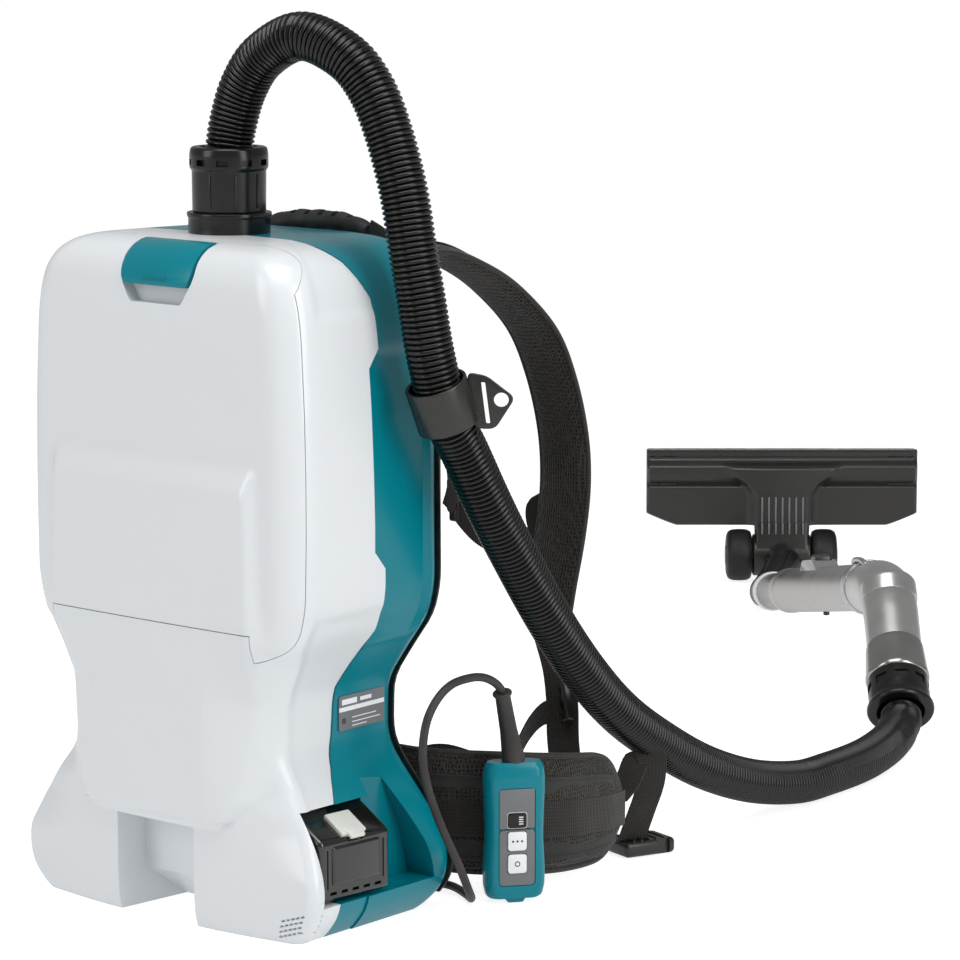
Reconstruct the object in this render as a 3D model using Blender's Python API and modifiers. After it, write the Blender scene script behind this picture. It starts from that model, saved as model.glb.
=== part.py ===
"""Backpack vacuum cleaner with its hose, wand, floor nozzle, remote control and harness.

Metres, +Z up. The origin is the centre of the machine's base. -Y is the cover side and +Y the wearer's back.
"""
import math

import bmesh
import bpy
import numpy as np
from mathutils import Matrix, Vector

# Machine
WALL = 0.0028
SEAM = 0.0005
CROWN = 0.003
RIDGE = 0.007
TAPER = 0.016
HINGE = Vector((0.0, -0.100, 0.238))
DOOR_CORNER = 0.026
DOOR_HALF = 0.109
DOOR_REAR = -0.074
BAY = ((0.0455, -0.0685, 0.0285), (0.200, 0.0120, 0.0985))
# depth and height of the hollow behind each battery
BAY_HOLLOW = [(0.0110, 0.0285), (0.0640, 0.0285), (0.0560, 0.0600), (0.0280, 0.1220), (0.0110, 0.1220)]
BAY_HOLLOW_DEPTH = 0.118
NOTCH = ((-0.042, -0.150, -0.020), (0.042, -0.062, 0.076))
BACK_PLATE = 0.0033
INLET = Vector((0.0, -0.008, 0.0))
# height, half width, front, rear, front corner radius, rear corner radius
BODY_SECTIONS = [
    (0.000, 0.142, -0.086, 0.072, 0.010, 0.012),
    (0.008, 0.151, -0.089, 0.080, 0.010, 0.012),
    (0.024, 0.161, -0.090, 0.086, 0.009, 0.012),
    (0.048, 0.162, -0.090, 0.087, 0.009, 0.012),
    (0.080, 0.148, -0.090, 0.081, 0.009, 0.012),
    (0.100, 0.136, -0.090, 0.075, 0.010, 0.012),
    (0.122, 0.120, -0.090, 0.071, 0.011, 0.012),
    (0.136, 0.114, -0.090, 0.070, 0.012, 0.012),
    (0.178, 0.114, -0.090, 0.071, 0.014, 0.012),
    (0.202, 0.124, -0.090, 0.081, 0.022, 0.012),
    (0.230, 0.141, -0.090, 0.088, 0.026, 0.012),
    (0.255, 0.149, -0.090, 0.0865, 0.028, 0.012),
    (0.310, 0.151, -0.090, 0.0840, 0.030, 0.012),
    (0.350, 0.151, -0.090, 0.0840, 0.030, 0.012),
    (0.400, 0.150, -0.090, 0.0840, 0.030, 0.012),
    (0.460, 0.147, -0.0895, 0.0838, 0.030, 0.012),
    (0.486, 0.143, -0.0890, 0.083, 0.030, 0.012),
    (0.503, 0.136, -0.0860, 0.081, 0.029, 0.012),
    (0.515, 0.124, -0.0780, 0.077, 0.026, 0.011),
    (0.521, 0.108, -0.0660, 0.071, 0.022, 0.010),
    (0.5235, 0.085, -0.0500, 0.062, 0.018, 0.009),
]
# height and depth by which the front face falls back at its outer corners
FALL_BACK = [
    (0.000, 0.008), (0.048, 0.008), (0.080, 0.0165), (0.097, 0.0185), (0.112, 0.022), (0.180, 0.020),
    (0.206, 0.010), (0.226, 0.0),
]
FALL_START = 0.058
# depth and height of the line where the white front housing meets the teal rear housing
SPLIT = [
    (-0.016, -0.050), (-0.016, 0.060), (-0.030, 0.096), (-0.014, 0.122), (-0.006, 0.145), (-0.003, 0.182),
    (0.020, 0.226), (0.018, 0.275), (0.005, 0.289), (0.0006, 0.429), (0.0126, 0.443), (0.010, 0.481),
    (-0.009, 0.509), (-0.0195, 0.519), (-0.0195, 0.600),
]

# Batteries
BATTERY = ((0.0460, -0.0660, 0.0310), (0.1520, 0.0090, 0.0950))

# Suction hose and wand
HOSE_RADIUS = 0.01875
HOSE_ROUTE = [
    (0.0000, -0.008, 0.5855), (0.0030, -0.006, 0.608), (0.0130, -0.004, 0.636), (0.0330, -0.002, 0.660),
    (0.0705, 0.001, 0.6755), (0.1095, 0.007, 0.662), (0.1315, 0.0125, 0.638), (0.1465, 0.016, 0.6045),
    (0.1585, 0.019, 0.5625), (0.1650, 0.022, 0.519), (0.1690, 0.027, 0.481), (0.1720, 0.034, 0.438),
    (0.1735, 0.048, 0.395), (0.1740, 0.069, 0.363), (0.1730, 0.096, 0.321), (0.1705, 0.124, 0.283),
    (0.1655, 0.1745, 0.2205), (0.1585, 0.2255, 0.169), (0.1505, 0.279, 0.1265), (0.1415, 0.342, 0.090),
    (0.1330, 0.409, 0.058), (0.1255, 0.480, 0.034), (0.1195, 0.549, 0.0210), (0.1145, 0.600, 0.0197),
    (0.1040, 0.660, 0.0197), (0.0860, 0.715, 0.0205), (0.0620, 0.764, 0.0203), (0.0430, 0.795, 0.0203),
    (0.0335, 0.812, 0.0225), (0.0271, 0.8203, 0.0277),
]
WAND_FOOT = Vector((0.0265, 0.821, 0.0285))
WAND_KNEE = Vector((-0.0542, 0.906, 0.126))
WAND_TIP = Vector((-0.4915, 1.2825, 0.0225))
PIPE_RADIUS = 0.0255
OUTER_TUBE_RADIUS = 0.0230
INNER_TUBE_RADIUS = 0.0192

# Floor nozzle: its axle's middle, and the directions along its width and away from its front
NOZZLE = Vector((-0.6121, 1.446, 0.0293))
NOZZLE_SIDE = Vector((0.7373, 0.6756, 0.0)).normalized()
NOZZLE_AWAY = Vector((-0.6756, 0.7373, 0.0)).normalized()
WHEEL_RADIUS = 0.029

# Remote control: its middle, and the directions out of its face and along its width
REMOTE = Vector((0.1665, 0.1335, 0.0580))
REMOTE_OUT = Vector((0.83, -0.558, 0.0)).normalized()
REMOTE_SIZE = (0.024, 0.045, 0.108)
CABLE_RADIUS = 0.0033
CABLE_ROUTE = [
    (0.1705, 0.1155, 0.1702), (0.1705, 0.1075, 0.1780), (0.1700, 0.0949, 0.1838), (0.1690, 0.0801, 0.1854),
    (0.1685, 0.0597, 0.1828), (0.1685, 0.0429, 0.1725), (0.1685, 0.0317, 0.1558), (0.1690, 0.0276, 0.1317),
    (0.1695, 0.0325, 0.1077), (0.1700, 0.0423, 0.0842), (0.1700, 0.0540, 0.0627), (0.1680, 0.0690, 0.0402),
    (0.1630, 0.0850, 0.0175), (0.1525, 0.1000, 0.0058), (0.1345, 0.1130, 0.0040), (0.1125, 0.1220, 0.0048),
    (0.0945, 0.1190, 0.0060), (0.0850, 0.1120, 0.0070), (0.0790, 0.1025, 0.0110),
]

# Harness
STRAP_ROUTE = [
    (0.0485, 0.0965, 0.462), (0.0495, 0.1000, 0.484), (0.0555, 0.1150, 0.500), (0.0675, 0.1400, 0.5035),
    (0.0765, 0.1750, 0.4900), (0.0805, 0.2100, 0.4690), (0.0835, 0.2470, 0.4350), (0.0835, 0.2700, 0.3950),
    (0.0835, 0.2845, 0.3490), (0.0835, 0.2880, 0.3080), (0.0835, 0.2825, 0.2670), (0.0835, 0.2715, 0.2230),
    (0.0840, 0.2650, 0.1960),
]
STRAP_WIDTH = 0.048
STRAP_THICKNESS = 0.011
WEBBING_ROUTE = [
    (0.0842, 0.2637, 0.1900), (0.0930, 0.2625, 0.1730), (0.1020, 0.2600, 0.1540), (0.1090, 0.2560, 0.1300),
    (0.1150, 0.2500, 0.1060),
]
# along the belt wing: x, y, lower edge, upper edge
BELT_ROUTE = [
    (0.0570, 0.1045, 0.021, 0.114), (0.0935, 0.1075, 0.021, 0.114), (0.1215, 0.1200, 0.0195, 0.114),
    (0.1405, 0.1430, 0.017, 0.112), (0.1525, 0.1730, 0.014, 0.108), (0.1585, 0.2080, 0.012, 0.103),
    (0.1555, 0.2450, 0.012, 0.097), (0.1505, 0.2670, 0.020, 0.086), (0.1455, 0.2830, 0.034, 0.066),
]
BELT_THICKNESS = 0.012


def clear_scene():
    for obj in list(bpy.data.objects):
        bpy.data.objects.remove(obj, do_unlink=True)


def new_collection(name, hidden=False):
    collection = bpy.data.collections.new(name)
    bpy.context.scene.collection.children.link(collection)
    collection.hide_render = hidden
    return collection


clear_scene()
PARTS = new_collection("backpack_vacuum_cleaner")
CUTTERS = new_collection("cutters", hidden=True)


def material(name, colour, roughness, metallic=0.0):
    made = bpy.data.materials.new(name)
    made.use_nodes = True
    shader = made.node_tree.nodes["Principled BSDF"]
    shader.inputs["Base Color"].default_value = (*colour, 1.0)
    shader.inputs["Roughness"].default_value = roughness
    shader.inputs["Metallic"].default_value = metallic
    made.diffuse_color = (*colour, 1.0)
    return made


WHITE = material("white_plastic", (0.72, 0.75, 0.77), 0.25)
TEAL = material("teal_plastic", (0.0, 0.235, 0.305), 0.25)
BLACK = material("black_plastic", (0.012, 0.012, 0.013), 0.30)
RUBBER = material("black_rubber", (0.015, 0.015, 0.015), 0.60)
HOSE_BLACK = material("hose_plastic", (0.02, 0.02, 0.02), 0.35)
GREY_METAL = material("grey_pipe", (0.22, 0.22, 0.23), 0.35, 0.6)
ALUMINIUM = material("aluminium", (0.75, 0.75, 0.77), 0.25, 1.0)
OFF_WHITE = material("off_white_plastic", (0.78, 0.79, 0.74), 0.40)
GREY = material("grey_plastic", (0.10, 0.11, 0.12), 0.45)
MESH_FABRIC = material("mesh_fabric", (0.02, 0.018, 0.016), 0.9)
WEBBING = material("webbing", (0.015, 0.014, 0.013), 0.85)
PAPER = material("filter_paper", (0.80, 0.79, 0.74), 0.9)
BAG_CLOTH = material("bag_cloth", (0.62, 0.60, 0.55), 0.9)
CIRCUIT = material("circuit_board", (0.02, 0.16, 0.06), 0.5)
STEEL = material("steel", (0.6, 0.6, 0.62), 0.25, 1.0)
BRISTLE = material("bristle", (0.03, 0.03, 0.03), 0.95)


def new_object(name, mesh, finish=None):
    """An object in the collection of parts, or among the cutters when it has no finish."""
    obj = bpy.data.objects.new(name, mesh)
    if finish is None:
        CUTTERS.objects.link(obj)
        obj.hide_render = True
        obj.display_type = "WIRE"
    else:
        PARTS.objects.link(obj)
        mesh.materials.append(finish)
    return obj


def mesh_from(bm, name):
    bmesh.ops.recalc_face_normals(bm, faces=bm.faces)
    mesh = bpy.data.meshes.new(name)
    bm.to_mesh(mesh)
    bm.free()
    return mesh


def axes_matrix(origin, first, third):
    """A frame at origin with X along first and Z along third."""
    z = Vector(third).normalized()
    x = (Vector(first) - z * z.dot(Vector(first))).normalized()
    y = z.cross(x)
    turn = Matrix((x, y, z)).transposed().to_4x4()
    return Matrix.Translation(origin) @ turn


def turned_to(origin, direction):
    """A frame at origin with Z along direction."""
    direction = Vector(direction).normalized()
    side = Vector((0, 0, 1)) if abs(direction.z) < 0.9 else Vector((1, 0, 0))
    return axes_matrix(origin, side, direction)


def box(name, low, high, finish=None, bevel=0.0, frame=None):
    low = Vector(low)
    high = Vector(high)
    bm = bmesh.new()
    bmesh.ops.create_cube(bm, size=1.0)
    bmesh.ops.scale(bm, vec=high - low, verts=bm.verts)
    bmesh.ops.translate(bm, vec=(low + high) / 2, verts=bm.verts)
    obj = new_object(name, mesh_from(bm, name), finish)
    if frame is not None:
        obj.matrix_world = frame
    if bevel:
        add_bevel(obj, bevel)
    return obj


def add_bevel(obj, width, segments=2):
    rounding = obj.modifiers.new("rounded_edges", "BEVEL")
    rounding.width = width
    rounding.segments = segments
    rounding.limit_method = "ANGLE"


def cylinder(name, start, end, radius, finish=None, end_radius=None, sides=28):
    start = Vector(start)
    end = Vector(end)
    bm = bmesh.new()
    top = radius if end_radius is None else end_radius
    length = (end - start).length
    bmesh.ops.create_cone(bm, cap_ends=True, segments=sides, radius1=radius, radius2=top, depth=length)
    bmesh.ops.translate(bm, vec=(0, 0, length / 2), verts=bm.verts)
    obj = new_object(name, mesh_from(bm, name), finish)
    obj.matrix_world = turned_to(start, end - start)
    return obj


def turned_ring(name, profile, finish, origin=(0, 0, 0), direction=(0, 0, 1), steps=28):
    """A closed profile of (radius, height) corners, turned round the axis, outer side first and downward."""
    mesh = bpy.data.meshes.new(name)
    corners = [(radius, 0.0, height) for radius, height in profile]
    edges = [(i, (i + 1) % len(corners)) for i in range(len(corners))]
    mesh.from_pydata(corners, edges, [])
    obj = new_object(name, mesh, finish)
    screw = obj.modifiers.new("turn", "SCREW")
    screw.steps = steps
    screw.render_steps = steps
    screw.use_merge_vertices = True
    screw.merge_threshold = 0.00001
    obj.matrix_world = turned_to(origin, direction)
    return obj


def sleeve(name, start, end, outer, inner, finish, steps=28):
    length = (Vector(end) - Vector(start)).length
    profile = [(outer, length), (outer, 0.0), (inner, 0.0), (inner, length)]
    return turned_ring(name, profile, finish, start, Vector(end) - Vector(start), steps)


def prism(name, outline, low, high, frame, finish=None):
    """An outline in the frame's XY plane, extruded along its Z from low to high."""
    bm = bmesh.new()
    face = bm.faces.new([bm.verts.new((x, y, low)) for x, y in outline])
    grown = bmesh.ops.extrude_face_region(bm, geom=[face])
    top = [item for item in grown["geom"] if isinstance(item, bmesh.types.BMVert)]
    bmesh.ops.translate(bm, vec=(0, 0, high - low), verts=top)
    bmesh.ops.triangulate(bm, faces=[f for f in bm.faces if len(f.verts) > 4])
    obj = new_object(name, mesh_from(bm, name), finish)
    obj.matrix_world = frame
    return obj


SIDE_VIEW = Matrix(((0, 0, 1, 0), (1, 0, 0, 0), (0, 1, 0, 0), (0, 0, 0, 1)))


def side_prism(name, outline, low, high, finish=None):
    """An outline of (depth, height) corners, extruded across the machine's width."""
    return prism(name, outline, low, high, SIDE_VIEW, finish)


def loft(name, rings, finish=None):
    """A closed skin over rings of equal length, with a cap at each end."""
    bm = bmesh.new()
    rows = [[bm.verts.new(point) for point in ring] for ring in rings]
    count = len(rows[0])
    for lower, upper in zip(rows, rows[1:]):
        for i in range(count):
            j = (i + 1) % count
            bm.faces.new((lower[i], lower[j], upper[j], upper[i]))
    bm.faces.new(rows[0])
    bm.faces.new(rows[-1])
    return new_object(name, mesh_from(bm, name), finish)


def boolean(obj, cutter, operation="DIFFERENCE"):
    cut = obj.modifiers.new(operation.lower() + "_" + cutter.name, "BOOLEAN")
    cut.operation = operation
    cut.solver = "EXACT"
    cut.object = cutter
    return obj


def smooth_route(points, spacing):
    """Points at an even spacing on the smooth curve through a route's own points."""
    points = [Vector(point) for point in points]
    dense = []
    for i in range(len(points) - 1):
        before = points[max(i - 1, 0)]
        start = points[i]
        end = points[i + 1]
        after = points[min(i + 2, len(points) - 1)]
        for step in range(12):
            t = step / 12
            pull = 2 * start + (end - before) * t + (2 * before - 5 * start + 4 * end - after) * t**2
            dense.append((pull + (3 * start - before - 3 * end + after) * t**3) / 2)
    dense.append(points[-1])
    length = sum((b - a).length for a, b in zip(dense, dense[1:]))
    count = max(2, round(length / spacing))
    picked = [dense[0]]
    run = 0.0
    for a, b in zip(dense, dense[1:]):
        step = (b - a).length
        while len(picked) < count and run + step >= length * len(picked) / count:
            picked.append(a.lerp(b, (length * len(picked) / count - run) / step))
        run += step
    picked.append(dense[-1])
    return picked


def round_tube(name, points, radius, finish, resolution=3):
    """A filled tube along points, made a mesh with its caps joined on."""
    curve = bpy.data.curves.new(name, "CURVE")
    curve.dimensions = "3D"
    spline = curve.splines.new("POLY")
    spline.points.add(len(points) - 1)
    for target, point in zip(spline.points, points):
        target.co = (*point, 1.0)
    curve.bevel_depth = radius
    curve.bevel_resolution = resolution
    curve.use_fill_caps = True
    source = bpy.data.objects.new(name + "_route", curve)
    bpy.context.scene.collection.objects.link(source)
    graph = bpy.context.evaluated_depsgraph_get()
    mesh = bpy.data.meshes.new_from_object(source.evaluated_get(graph))
    bpy.data.objects.remove(source)
    bm = bmesh.new()
    bm.from_mesh(mesh)
    bmesh.ops.remove_doubles(bm, verts=bm.verts, dist=0.00001)
    bpy.data.meshes.remove(mesh)
    return new_object(name, mesh_from(bm, name), finish)


def ribbon(name, points, across, thickness, finish):
    """A flat strap along points: across gives each point's half-width vector."""
    rings = []
    for i, point in enumerate(points):
        ahead = points[min(i + 1, len(points) - 1)] - points[max(i - 1, 0)]
        half = Vector(across[i])
        out = ahead.cross(half).normalized() * (thickness / 2)
        soft = half * 0.94
        rings.append([
            point - half, point - soft - out, point + soft - out,
            point + half, point + soft + out, point - soft + out,
        ])
    return loft(name, rings, finish)


def mirrored(point):
    return (-point[0], *point[1:])


# --- Machine body -----------------------------------------------------------------------------------


def ease(value):
    value = min(max(value, 0.0), 1.0)
    return value * value * (3 - 2 * value)


def ridge_height(x, z):
    """How far the door's lower middle and the bib below it stand out from the front."""
    half = 0.104 if z > HINGE.z else 0.075 + 0.029 * ease((z - 0.078) / 0.130)
    across = ease((half - abs(x)) / 0.014)
    return RIDGE * across * ease((0.362 - z) / 0.030) * ease((z - 0.078) / 0.012)


def fall_back(x, half, z):
    """How far the front face falls back towards its outer corners."""
    heights = [row[0] for row in FALL_BACK]
    depth = float(np.interp(z, heights, [row[1] for row in FALL_BACK]))
    share = min(max((abs(x) - FALL_START) / (half - FALL_START), 0.0), 1.0)
    return depth * share ** 1.25


def body_ring(section, inset):
    """One level outline of the machine, drawn in by inset."""
    z, half, front, rear, front_radius, rear_radius = section
    half -= inset
    front += inset
    rear -= inset
    front_radius = max(front_radius - inset, 0.004)
    rear_radius = max(rear_radius - inset, 0.004)
    side = []
    for fraction in (0.0, 0.4, 0.72, 0.86, 1.0):
        x = (half - front_radius) * fraction
        crown = CROWN * (1 - (x / half) ** 2)
        side.append((x, front - crown - ridge_height(x, z) + fall_back(x, half, z)))
    edge = CROWN * (1 - ((half - front_radius) / half) ** 2)
    for step in range(1, 5):
        angle = math.pi / 2 * step / 4
        fade = 1 - step / 4
        x = half - front_radius * (1 - math.sin(angle))
        y = front + front_radius * (1 - math.cos(angle)) - edge * fade
        side.append((x, y + fall_back(x, half, z)))
    for step in range(4):
        angle = math.pi / 2 * step / 3
        x = half - rear_radius * (1 - math.cos(angle))
        side.append((x, rear - rear_radius * (1 - math.sin(angle))))
    side.append((0.0, rear))
    depth = rear - front
    side = [(x - TAPER * (x / half) * max(0.0, (y - front) / depth), y) for x, y in side]
    left = [(-x, y) for x, y in reversed(side[1:-1])]
    return [Vector((x, y, z)) for x, y in side + left]


def body_side(z, y):
    """A point of the machine's right side at the waist, where its outline is the same at every height."""
    section = next(row for row in BODY_SECTIONS if row[0] > z)
    _, half, front, rear, _, _ = section
    return Vector((half - TAPER * (y - front) / (rear - front), y, z))


def body_solid(name, inset):
    """The machine's outside, or the space inside walls of that thickness."""
    rings = []
    for section in BODY_SECTIONS:
        ring = body_ring(section, inset)
        if section is BODY_SECTIONS[0]:
            ring = [point + Vector((0, 0, inset)) for point in ring]
        if section is BODY_SECTIONS[-1]:
            ring = [point - Vector((0, 0, inset)) for point in ring]
        if inset and 0.5 < section[0] < BODY_SECTIONS[-1][0]:
            ring = [point - Vector((0, 0, inset * 0.8)) for point in ring]
        rings.append(ring)
    return loft(name, rings)


def grown_box(name, corners, growth):
    low = Vector(corners[0]) - Vector((growth, growth, growth))
    high = Vector(corners[1]) + Vector((growth, growth, growth))
    return box(name, low, high)


def mirrored_corners(corners):
    low, high = corners
    return ((-high[0], *low[1:]), (-low[0], *high[1:]))


def door_region(name, gap):
    """The space that the cover fills, with its rounded lower corners at both sides."""
    bottom = HINGE.z - 0.0035 - gap
    outline = [
        (-0.200, bottom), (DOOR_REAR + gap, bottom), (DOOR_REAR + gap, 0.490), (-0.060 + gap, 0.506),
        (-0.056 + gap, 0.512), (-0.056 + gap, 0.600), (-0.200, 0.600),
    ]
    region = side_prism(name, outline, -0.2, 0.2)
    radius = DOOR_CORNER + gap
    inner = DOOR_HALF - gap
    corner = [(-0.200, HINGE.z + 0.010), (HINGE.y + radius, HINGE.z + 0.010)]
    for step in range(9):
        angle = math.pi / 2 * step / 8
        corner.append((HINGE.y + radius * math.cos(angle), HINGE.z - radius * math.sin(angle)))
    corner.append((-0.200, HINGE.z - radius))
    boolean(region, side_prism(name + "_right_corner", corner, inner, 0.21), "UNION")
    boolean(region, side_prism(name + "_left_corner", corner, -0.21, -inner), "UNION")
    return region


LATCH_POCKET = [
    (-0.130, 0.476), (-0.0815, 0.476), (-0.0805, 0.499), (-0.0760, 0.5060), (-0.0690, 0.5095),
    (-0.0610, 0.5105), (-0.0610, 0.560), (-0.130, 0.560),
]
LATCH_POCKET_WALL = [
    (-0.130, 0.471), (-0.0775, 0.471), (-0.0770, 0.4975), (-0.0735, 0.5030), (-0.0680, 0.5060),
    (-0.0575, 0.5075), (-0.0575, 0.560), (-0.130, 0.560),
]
LATCH_SHAPE = [
    (-0.0925, 0.4905), (-0.0895, 0.5030), (-0.0815, 0.5155), (-0.0695, 0.5215), (-0.0640, 0.5224),
    (-0.0640, 0.5170), (-0.0680, 0.5163), (-0.0775, 0.5115), (-0.0845, 0.5015), (-0.0875, 0.4905),
]
LATCH_CENTRE = 0.005


def front_half(name, gap):
    """All that lies in front of the line between the two housings."""
    return side_prism(name, [(-0.300, -0.050), *[(y - gap, z) for y, z in SPLIT], (-0.300, 0.600)], -0.2, 0.2)


def rear_half(name, gap):
    line = [(y + gap, z) for y, z in SPLIT]
    return side_prism(name, [*line, (0.300, 0.600), (0.300, -0.050)], -0.2, 0.2)


def bay_hollow(name, side, growth):
    """The sloping hollow in the rear housing's side behind a battery."""
    outline = []
    for y, z in BAY_HOLLOW:
        outline.append((y + (growth if y > 0.02 else -growth), z + (growth if z > 0.05 else -growth)))
    low = BAY_HOLLOW_DEPTH - growth
    return side_prism(name, outline, low, 0.2) if side == "right" else side_prism(name, outline, -0.2, -low)


def body_cavity(name):
    """The hollow inside the housings: it leaves the walls of the battery bays and of the front notch."""
    cavity = body_solid(name, WALL)
    for side, corners in (("right", BAY), ("left", mirrored_corners(BAY))):
        boolean(cavity, grown_box(f"{name}_{side}_bay_walls", corners, WALL))
        boolean(cavity, bay_hollow(f"{name}_{side}_hollow_walls", side, WALL))
    boolean(cavity, grown_box(name + "_notch_walls", NOTCH, WALL))
    return cavity


def make_housings():
    cavity = body_cavity("body_cavity")
    flange_hole = cylinder("flange_hole", INLET + Vector((0, 0, 0.50)), INLET + Vector((0, 0, 0.56)), 0.0262)
    bays = [grown_box("right_bay", BAY, 0.0), grown_box("left_bay", mirrored_corners(BAY), 0.0)]

    front = body_solid("front_housing", 0.0)
    move_to_parts(front, WHITE)
    boolean(front, front_half("front_half", SEAM / 2), "INTERSECT")
    boolean(front, door_region("door_opening", 0.001))
    boolean(front, cavity)
    boolean(front, flange_hole)
    boolean(front, grown_box("notch", NOTCH, 0.0))

    rear = body_solid("rear_housing", 0.0)
    move_to_parts(rear, TEAL)
    boolean(rear, rear_half("rear_half", SEAM / 2), "INTERSECT")
    boolean(rear, cavity)
    boolean(rear, flange_hole)
    for housing in (front, rear):
        for bay in bays:
            boolean(housing, bay)
    for side in ("right", "left"):
        boolean(rear, bay_hollow(f"{side}_hollow", side, 0.0))


def move_to_parts(obj, finish):
    CUTTERS.objects.unlink(obj)
    PARTS.objects.link(obj)
    obj.hide_render = False
    obj.display_type = "TEXTURED"
    obj.data.materials.append(finish)


def make_cover():
    door = body_solid("front_cover", 0.0)
    move_to_parts(door, WHITE)
    boolean(door, door_region("door_outline", 0.0), "INTERSECT")
    hollow = body_solid("door_hollow", WALL)
    wall = side_prism("latch_pocket_wall", LATCH_POCKET_WALL, LATCH_CENTRE - 0.0430, LATCH_CENTRE + 0.0430)
    boolean(hollow, wall)
    boolean(door, hollow)
    boolean(door, side_prism("latch_pocket", LATCH_POCKET, LATCH_CENTRE - 0.0400, LATCH_CENTRE + 0.0400))
    latch = side_prism("cover_latch", LATCH_SHAPE, LATCH_CENTRE - 0.0375, LATCH_CENTRE + 0.0375, TEAL)
    add_bevel(latch, 0.001, 1)


def make_back_plate():
    """A black plate over the whole back, which follows the rear housing in at the waist."""
    rings = []
    for z, half, _, rear, _, _ in BODY_SECTIONS[1:-2]:
        side = half - TAPER - 0.0015
        near = rear + 0.0004
        far = near + BACK_PLATE
        corners = ((-side, near, z), (side, near, z), (side, far, z), (-side, far, z))
        rings.append([Vector(corner) for corner in corners])
    loft("back_plate", rings, BLACK)
    pad = box("back_pad", (-0.095, 0.0885, 0.292), (0.095, 0.0955, 0.448), MESH_FABRIC)
    add_bevel(pad, 0.002, 1)
    box("lumbar_pad", (-0.0560, 0.0920, 0.020), (0.0560, 0.1120, 0.114), MESH_FABRIC, 0.003)


def make_inlet():
    turned_ring("inlet_flange", [
        (0.0320, 0.5400), (0.0320, 0.5240), (0.0258, 0.5240), (0.0258, 0.5000),
        (0.0225, 0.5000), (0.0225, 0.5400),
    ], BLACK, INLET)
    turned_ring("swivel_cuff", [
        (0.0230, 0.5850), (0.0300, 0.5850), (0.0300, 0.5715), (0.0280, 0.5700), (0.0280, 0.5404),
        (0.0230, 0.5404),
    ], BLACK, INLET)


def make_dust_chamber():
    box("partition_wall", (-0.122, 0.0200, 0.240), (0.122, 0.0225, 0.484), BLACK)
    box("control_board", (-0.055, 0.0229, 0.300), (0.055, 0.0245, 0.390), CIRCUIT)
    bag = box("dust_bag", (-0.112, -0.060, 0.246), (0.112, 0.020, 0.498), BAG_CLOTH)
    soften = bag.modifiers.new("soft_form", "SUBSURF")
    soften.levels = 2
    soften.render_levels = 2
    collar = box("bag_collar", (-0.050, -0.050, 0.4890), (0.050, 0.034, 0.4935), GREY, 0.001)
    boolean(collar, cylinder("bag_mouth", INLET + Vector((0, 0, 0.47)), INLET + Vector((0, 0, 0.51)), 0.0215))


def make_filter():
    low = (-0.098, -0.076, 0.204)
    high = (0.098, 0.064, 0.231)
    frame = box("filter_frame", low, high, GREY)
    boolean(frame, box("filter_opening", (-0.093, -0.071, 0.19), (0.093, 0.059, 0.25)))
    pleats = 15
    pitch = 0.129 / pleats
    teeth = []
    for i in range(pleats):
        start = -0.0705 + pitch * i
        teeth.append((start, 0.2110))
        teeth.append((start + pitch / 2, 0.2260))
    teeth.append((0.0585, 0.2110))
    lower = [(y, z - 0.0040) for y, z in reversed(teeth)]
    side_prism("exhaust_filter", teeth + lower, -0.0925, 0.0925, PAPER)


def make_blower():
    axis = Vector((0.0, -0.008, 0.0))
    turned_ring("motor_housing", [
        (0.0043, 0.1660), (0.0430, 0.1660), (0.0440, 0.1620), (0.0440, 0.1120),
        (0.0400, 0.1080), (0.0043, 0.1080),
    ], STEEL, axis, steps=24)
    shaft_ends = (axis + Vector((0, 0, 0.112)), axis + Vector((0, 0, 0.194)))
    cylinder("motor_shaft", *shaft_ends, 0.0040, STEEL, sides=24)
    fan = turned_ring("impeller", [
        (0.0043, 0.1900), (0.0100, 0.1900), (0.0130, 0.1760), (0.0400, 0.1740),
        (0.0400, 0.1720), (0.0043, 0.1720),
    ], BLACK, axis, steps=24)
    for i in range(7):
        turn = Matrix.Translation(axis) @ Matrix.Rotation(math.tau * i / 7, 4, "Z")
        blade = box(f"blade_{i}", (0.010, -0.0008, 0.1730), (0.0385, 0.0008, 0.1850), frame=turn)
        boolean(fan, blade, "UNION")


def make_battery(side, sign):
    corners = BATTERY if sign > 0 else mirrored_corners(BATTERY)
    battery = box(f"battery_{side}", *corners, BLACK)
    inner, outer = BATTERY[0][0], BATTERY[1][0]
    top = BATTERY[1][2]
    slope = [(outer - 0.030, top + 0.001), (outer + 0.010, top + 0.001), (outer + 0.010, top - 0.024)]
    front_view = Matrix(((sign, 0, 0, 0), (0, 0, 1, 0), (0, 1, 0, 0), (0, 0, 0, 1)))
    boolean(battery, prism(f"battery_slope_{side}", slope, -0.1, 0.1, front_view))
    add_bevel(battery, 0.003, 1)
    # The release button sits in a pocket in the slope and is pressed square to it.
    angle = math.atan2(0.025, 0.040)
    middle = Vector((sign * (outer - 0.012), (BATTERY[0][1] + BATTERY[1][1]) / 2, top - 0.0105))
    out = Vector((sign * math.sin(angle), 0, math.cos(angle)))
    frame = axes_matrix(middle, (0, 1, 0), out)
    pocket = box(f"button_pocket_{side}", (-0.0135, -0.0120, -0.0055), (0.0135, 0.0120, 0.020), frame=frame)
    boolean(battery, pocket)
    low, high = (-0.0130, -0.0115, -0.0018), (0.0130, 0.0115, 0.0030)
    box(f"battery_button_{side}", low, high, OFF_WHITE, 0.001, frame)


def make_label():
    low = body_side(0.160, 0.001)
    high = body_side(0.160, 0.057)
    run = (high - low).normalized()
    frame = axes_matrix((low + high) / 2, run, (0, 0, 1))
    box("rating_label", (-0.0280, -0.0008, -0.0135), (0.0280, -0.0003, 0.0135), GREY, frame=frame)


# --- Hose and wand ----------------------------------------------------------------------------------


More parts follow.
